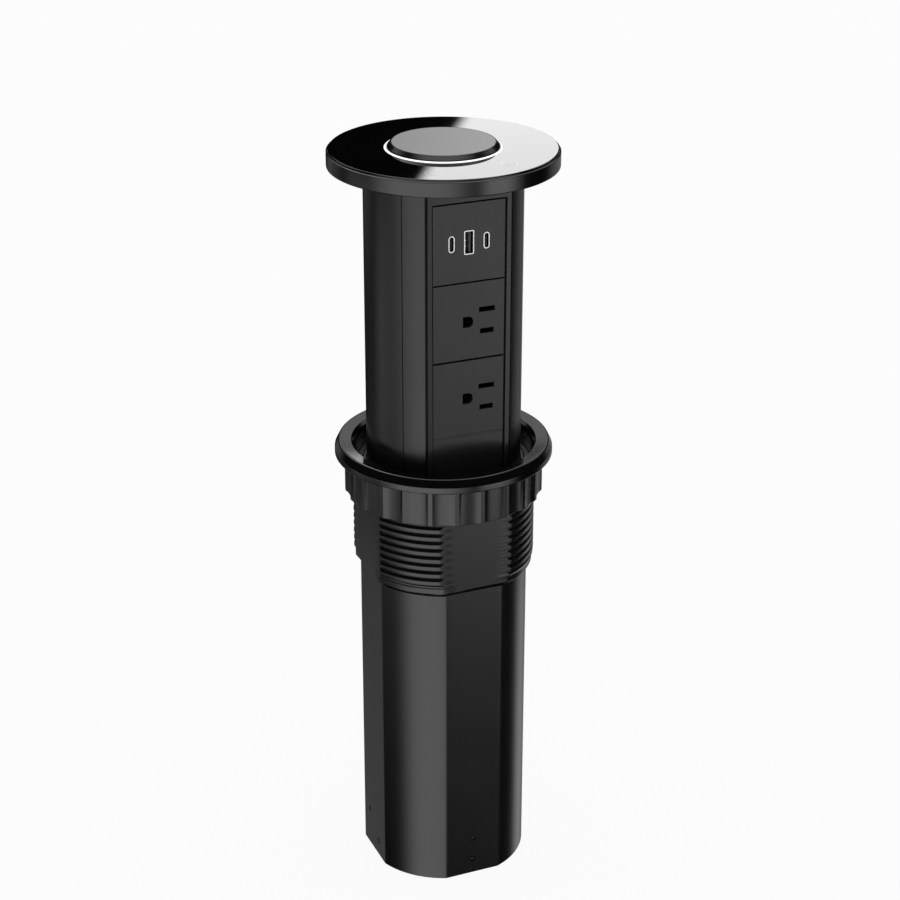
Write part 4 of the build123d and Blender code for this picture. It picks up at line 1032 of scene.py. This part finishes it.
def on_flat(name, profile, place, slot, finish=None):
    """A small turned profile (radius, height) on one of the tube's flats, its axis out of the flat."""
    side, along, height = place
    way = math.radians(side)
    out = np.array([math.cos(way), math.sin(way), 0])
    aside = np.array([-math.sin(way), math.cos(way), 0])
    centre = out * TUBE_FLAT + aside * along * MM + np.array([0, 0, height * MM])
    angle = once_round(SCREW_STEPS)[None, :, None]
    radius, rise = profile[:, 0][:, None, None], profile[:, 1][:, None, None]
    round_axis = np.cos(angle) * aside + np.sin(angle) * np.array([0, 0, 1])
    grid = centre + radius * round_axis + rise * out
    piece = grid_piece(name, grid, "tube_screws", wrap_rows=False, slot=slot)
    if finish:
        piece.data.materials[0] = FINISHES[finish]
    return piece


def make_tube_screws():
    """Eight small screws: a black ring of painted shade for the recess round a low domed head with a
    driver hole.
    """
    shade_ring, head = np.array(SCREW_SHADE_RING) * MM, np.array(SCREW_HEAD) * MM
    for number, place in enumerate(SCREW_PLACES):
        on_flat("screw_recess_shade_%d" % number, shade_ring, place, "steel_black", "painted_recess_shade")
        piece = on_flat("screw_head_%d" % number, head, place, "steel_black")
        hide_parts("tube_screws")


make_tube_screws()

# Touch marks in millimetres: place across and along, radii, how far they stand over the glass
# and how deep their edge goes into it
TOUCH_PLACES = ((-24.7, -44.8, "mark_blue"), (19.8, -44.6, "mark_pink"))
TOUCH_RING_INNER = 3.9
TOUCH_RING_OUTER = 4.9
TOUCH_DISC = 3.6
TOUCH_RISE = 0.02
TOUCH_EDGE = 0.05
TOUCH_STEPS = 64


def make_touch_marks():
    """Two printed touch marks on the glass: a white ring round a tinted disc, a hair above the glass."""
    angle = once_round(TOUCH_STEPS)
    for across, along, tint in TOUCH_PLACES:
        for name, inner, outer, finish in (
            ("touch_ring", TOUCH_RING_INNER, TOUCH_RING_OUTER, "mark_white"),
            ("touch_disc", 0.0, TOUCH_DISC, tint),
        ):
            rows = [(radius, TOUCH_RISE) for radius in (inner, 0.5 * (inner + outer), outer)]
            rows.append((outer, -TOUCH_EDGE))
            grid = rings(np.array(rows) * MM, angle) + np.array([across * MM, along * MM, GLASS_TOP])
            piece = grid_piece("%s_%s" % (name, tint[5:]), grid, "glass_panel", wrap_rows=False)
            piece.data.materials[0] = FINISHES[finish]


make_touch_marks()

# ---------------------------------------------------------------- studio

FLOOR_SHADE = 0.92
FLOOR_WHITE = 0.93
FLOOR_RADII = (0.0, 0.3, 1.0, 6.0)
FLOOR_STEPS = 96
ROOM_SHADE = 0.68
CURTAIN_SHADE = 0.0032

# The soft boxes round the part, in degrees as seen from it. Turn counts from the camera, positive
# to its right, and back turn from straight behind; rise counts up from the horizon. Each edge is a
# pair (begins, ends), and lean shifts the turn by so many degrees for each degree of rise.
BOXES = {
    "key": dict(
        turn=((-76, -41), (44, -6)),
        rise=((-58, -44), (2, -8)),
        lean=(-0.64, 0),
        level=-21.5,
        strength=1.84,
    ),
    "right_front": dict(turn=((30, 48), (88, 60)), rise=((-27.5, -23.5), (2, -8)), strength=2.0),
    "left_strip": dict(turn=((-122, -98), (-45, -70)), rise=((-25, -22), (-16, -20)), strength=1.36),
    "left_back": dict(turn=((-172, -150), (-108, -122)), rise=((-58, -44), (-23, -27)), strength=0.21),
    "left_high": dict(turn=((-165, -145), (-112, -124)), rise=((-19, -16), (2, -4)), strength=0.21),
    "right_back": dict(turn=((118, 135), (181, 180)), rise=((-58, -44), (2, -6)), strength=0.27),
    "right_low": dict(turn=((116, 130), (160, 140)), rise=((-58, -44), (-24, -28)), strength=0.6),
    "window": dict(
        back=((-0.25, 0.25), (4.6, 3.4)),
        rise=((10, 12.5), (18.6, 17.2)),
        lean=(0.74, 0.0),
        level=15.8,
        strength=3.3,
    ),
    "high_window": dict(back=((-80, -55), (80, 55)), rise=((19, 23), (70, 55)), strength=0.76),
    "high_left": dict(back=((-48, -32), (6, -10)), rise=((32, 42), (62, 54)), strength=2.24),
    "ceiling": dict(rise=((46, 62), (91, 90)), strength=1.76),
}


def soft_step(nodes, value, begins, ends):
    """0 up to where the edge begins and 1 from where it ends, smooth between."""
    step = nodes.add("ShaderNodeMapRange", interpolation_type="SMOOTHSTEP")
    nodes.join(value, step.inputs["Value"])
    limits = (begins, ends, 0.0, 1.0) if begins < ends else (ends, begins, 1.0, 0.0)
    for label, limit in zip(("From Min", "From Max", "To Min", "To Max"), limits):
        step.inputs[label].default_value = limit
    return step.outputs["Result"]


def studio_light(nodes):
    """Strength of the studio by direction: the sum of the soft boxes over the dark curtain."""
    place = nodes.add("ShaderNodeTexCoord").outputs["Generated"]
    parts = []
    for axis in (
        (math.cos(VIEW_TURN), math.sin(VIEW_TURN), 0),
        (math.sin(VIEW_TURN), -math.cos(VIEW_TURN), 0),
        (0, 0, 1),
    ):
        dot = nodes.add("ShaderNodeVectorMath", operation="DOT_PRODUCT")
        nodes.join(place, dot.inputs[0])
        dot.inputs[1].default_value = axis
        parts.append(dot.outputs["Value"])
    right, near, up = parts
    degrees = 180 / math.pi
    turn = nodes.math("MULTIPLY", nodes.math("ARCTAN2", right, near), degrees)
    away = nodes.math("MULTIPLY", near, -1.0)
    back = nodes.math("MULTIPLY", nodes.math("ARCTAN2", right, away), degrees)
    rise = nodes.math("MULTIPLY", nodes.math("ARCSINE", up), degrees)
    total = CURTAIN_SHADE
    for box in BOXES.values():
        begins, ends = (soft_step(nodes, rise, *edge) for edge in box["rise"])
        share = nodes.math("MULTIPLY", begins, ends)
        for label, angle in (("turn", turn), ("back", back)):
            if label not in box:
                continue
            above = nodes.math("SUBTRACT", rise, box.get("level", 0.0))
            for edge, lean in zip(box[label], box.get("lean", (0.0, 0.0))):
                slant = lean if label == "back" else -lean
                leaned = nodes.math("MULTIPLY_ADD", above, slant, angle)
                share = nodes.math("MULTIPLY", share, soft_step(nodes, leaned, *edge))
        total = nodes.math("MULTIPLY_ADD", share, box["strength"], total)
    return total


def make_world():
    """White to the camera and through clear pieces, boxes and curtains in gloss, else an even room."""
    world = bpy.data.worlds.new("studio")
    bpy.context.scene.world = world
    world.use_nodes = True
    nodes = Nodes(world.node_tree)
    world.node_tree.nodes.clear()
    out = nodes.add("ShaderNodeOutputWorld")
    paths = nodes.add("ShaderNodeLightPath")
    lit = nodes.math("SUBTRACT", 1.0, paths.outputs["Is Glossy Ray"])
    glossy = nodes.math("MULTIPLY", studio_light(nodes), paths.outputs["Is Glossy Ray"])
    room = nodes.math("MULTIPLY_ADD", lit, ROOM_SHADE, glossy)
    seen = nodes.math("MAXIMUM", paths.outputs["Is Camera Ray"], paths.outputs["Is Transmission Ray"])
    clear = nodes.math("SUBTRACT", 1.0, seen)
    strength = nodes.math("MULTIPLY_ADD", room, clear, seen)
    light = nodes.add("ShaderNodeBackground")
    light.inputs["Color"].default_value = (1, 1, 1, 1)
    nodes.join(strength, light.inputs["Strength"])
    nodes.join(light.outputs[0], out.inputs["Surface"])


def make_floor():
    """Round pale floor: white to the camera but for the shadow, clear to gloss and from below."""
    grid = rings([(radius, 0) for radius in FLOOR_RADII], once_round(FLOOR_STEPS))
    mesh = bpy.data.meshes.new("floor")
    faces = grid_faces(*grid.shape[:2], False).tolist()
    mesh.from_pydata(grid.reshape(-1, 3).tolist(), [], [f[::-1] for f in faces])
    floor = bpy.data.objects.new("floor", mesh)
    bpy.context.scene.collection.objects.link(floor)
    material = bpy.data.materials.new("floor_white")
    material.use_nodes = True
    nodes = Nodes(material.node_tree)
    shader = material.node_tree.nodes["Principled BSDF"]
    shader.inputs["Base Color"].default_value = (FLOOR_SHADE, FLOOR_SHADE, FLOOR_SHADE, 1)
    shader.inputs["Roughness"].default_value = 0.9
    glow = nodes.add("ShaderNodeEmission")
    glow.inputs["Color"].default_value = (1, 1, 1, 1)
    clear = nodes.add("ShaderNodeBsdfTransparent")
    paths = nodes.add("ShaderNodeLightPath")
    white = nodes.add("ShaderNodeMixShader")
    nodes.join(nodes.math("MULTIPLY", paths.outputs["Is Camera Ray"], FLOOR_WHITE), white.inputs[0])
    nodes.join(shader.outputs[0], white.inputs[1])
    nodes.join(glow.outputs[0], white.inputs[2])
    mix = nodes.add("ShaderNodeMixShader")
    side = nodes.add("ShaderNodeNewGeometry")
    through = nodes.math("MAXIMUM", paths.outputs["Is Glossy Ray"], side.outputs["Backfacing"])
    nodes.join(through, mix.inputs[0])
    nodes.join(white.outputs[0], mix.inputs[1])
    nodes.join(clear.outputs[0], mix.inputs[2])
    nodes.join(mix.outputs[0], material.node_tree.nodes["Material Output"].inputs["Surface"])
    mesh.materials.append(material)


make_world()
make_floor()
bpy.context.scene.view_settings.view_transform = "Standard"
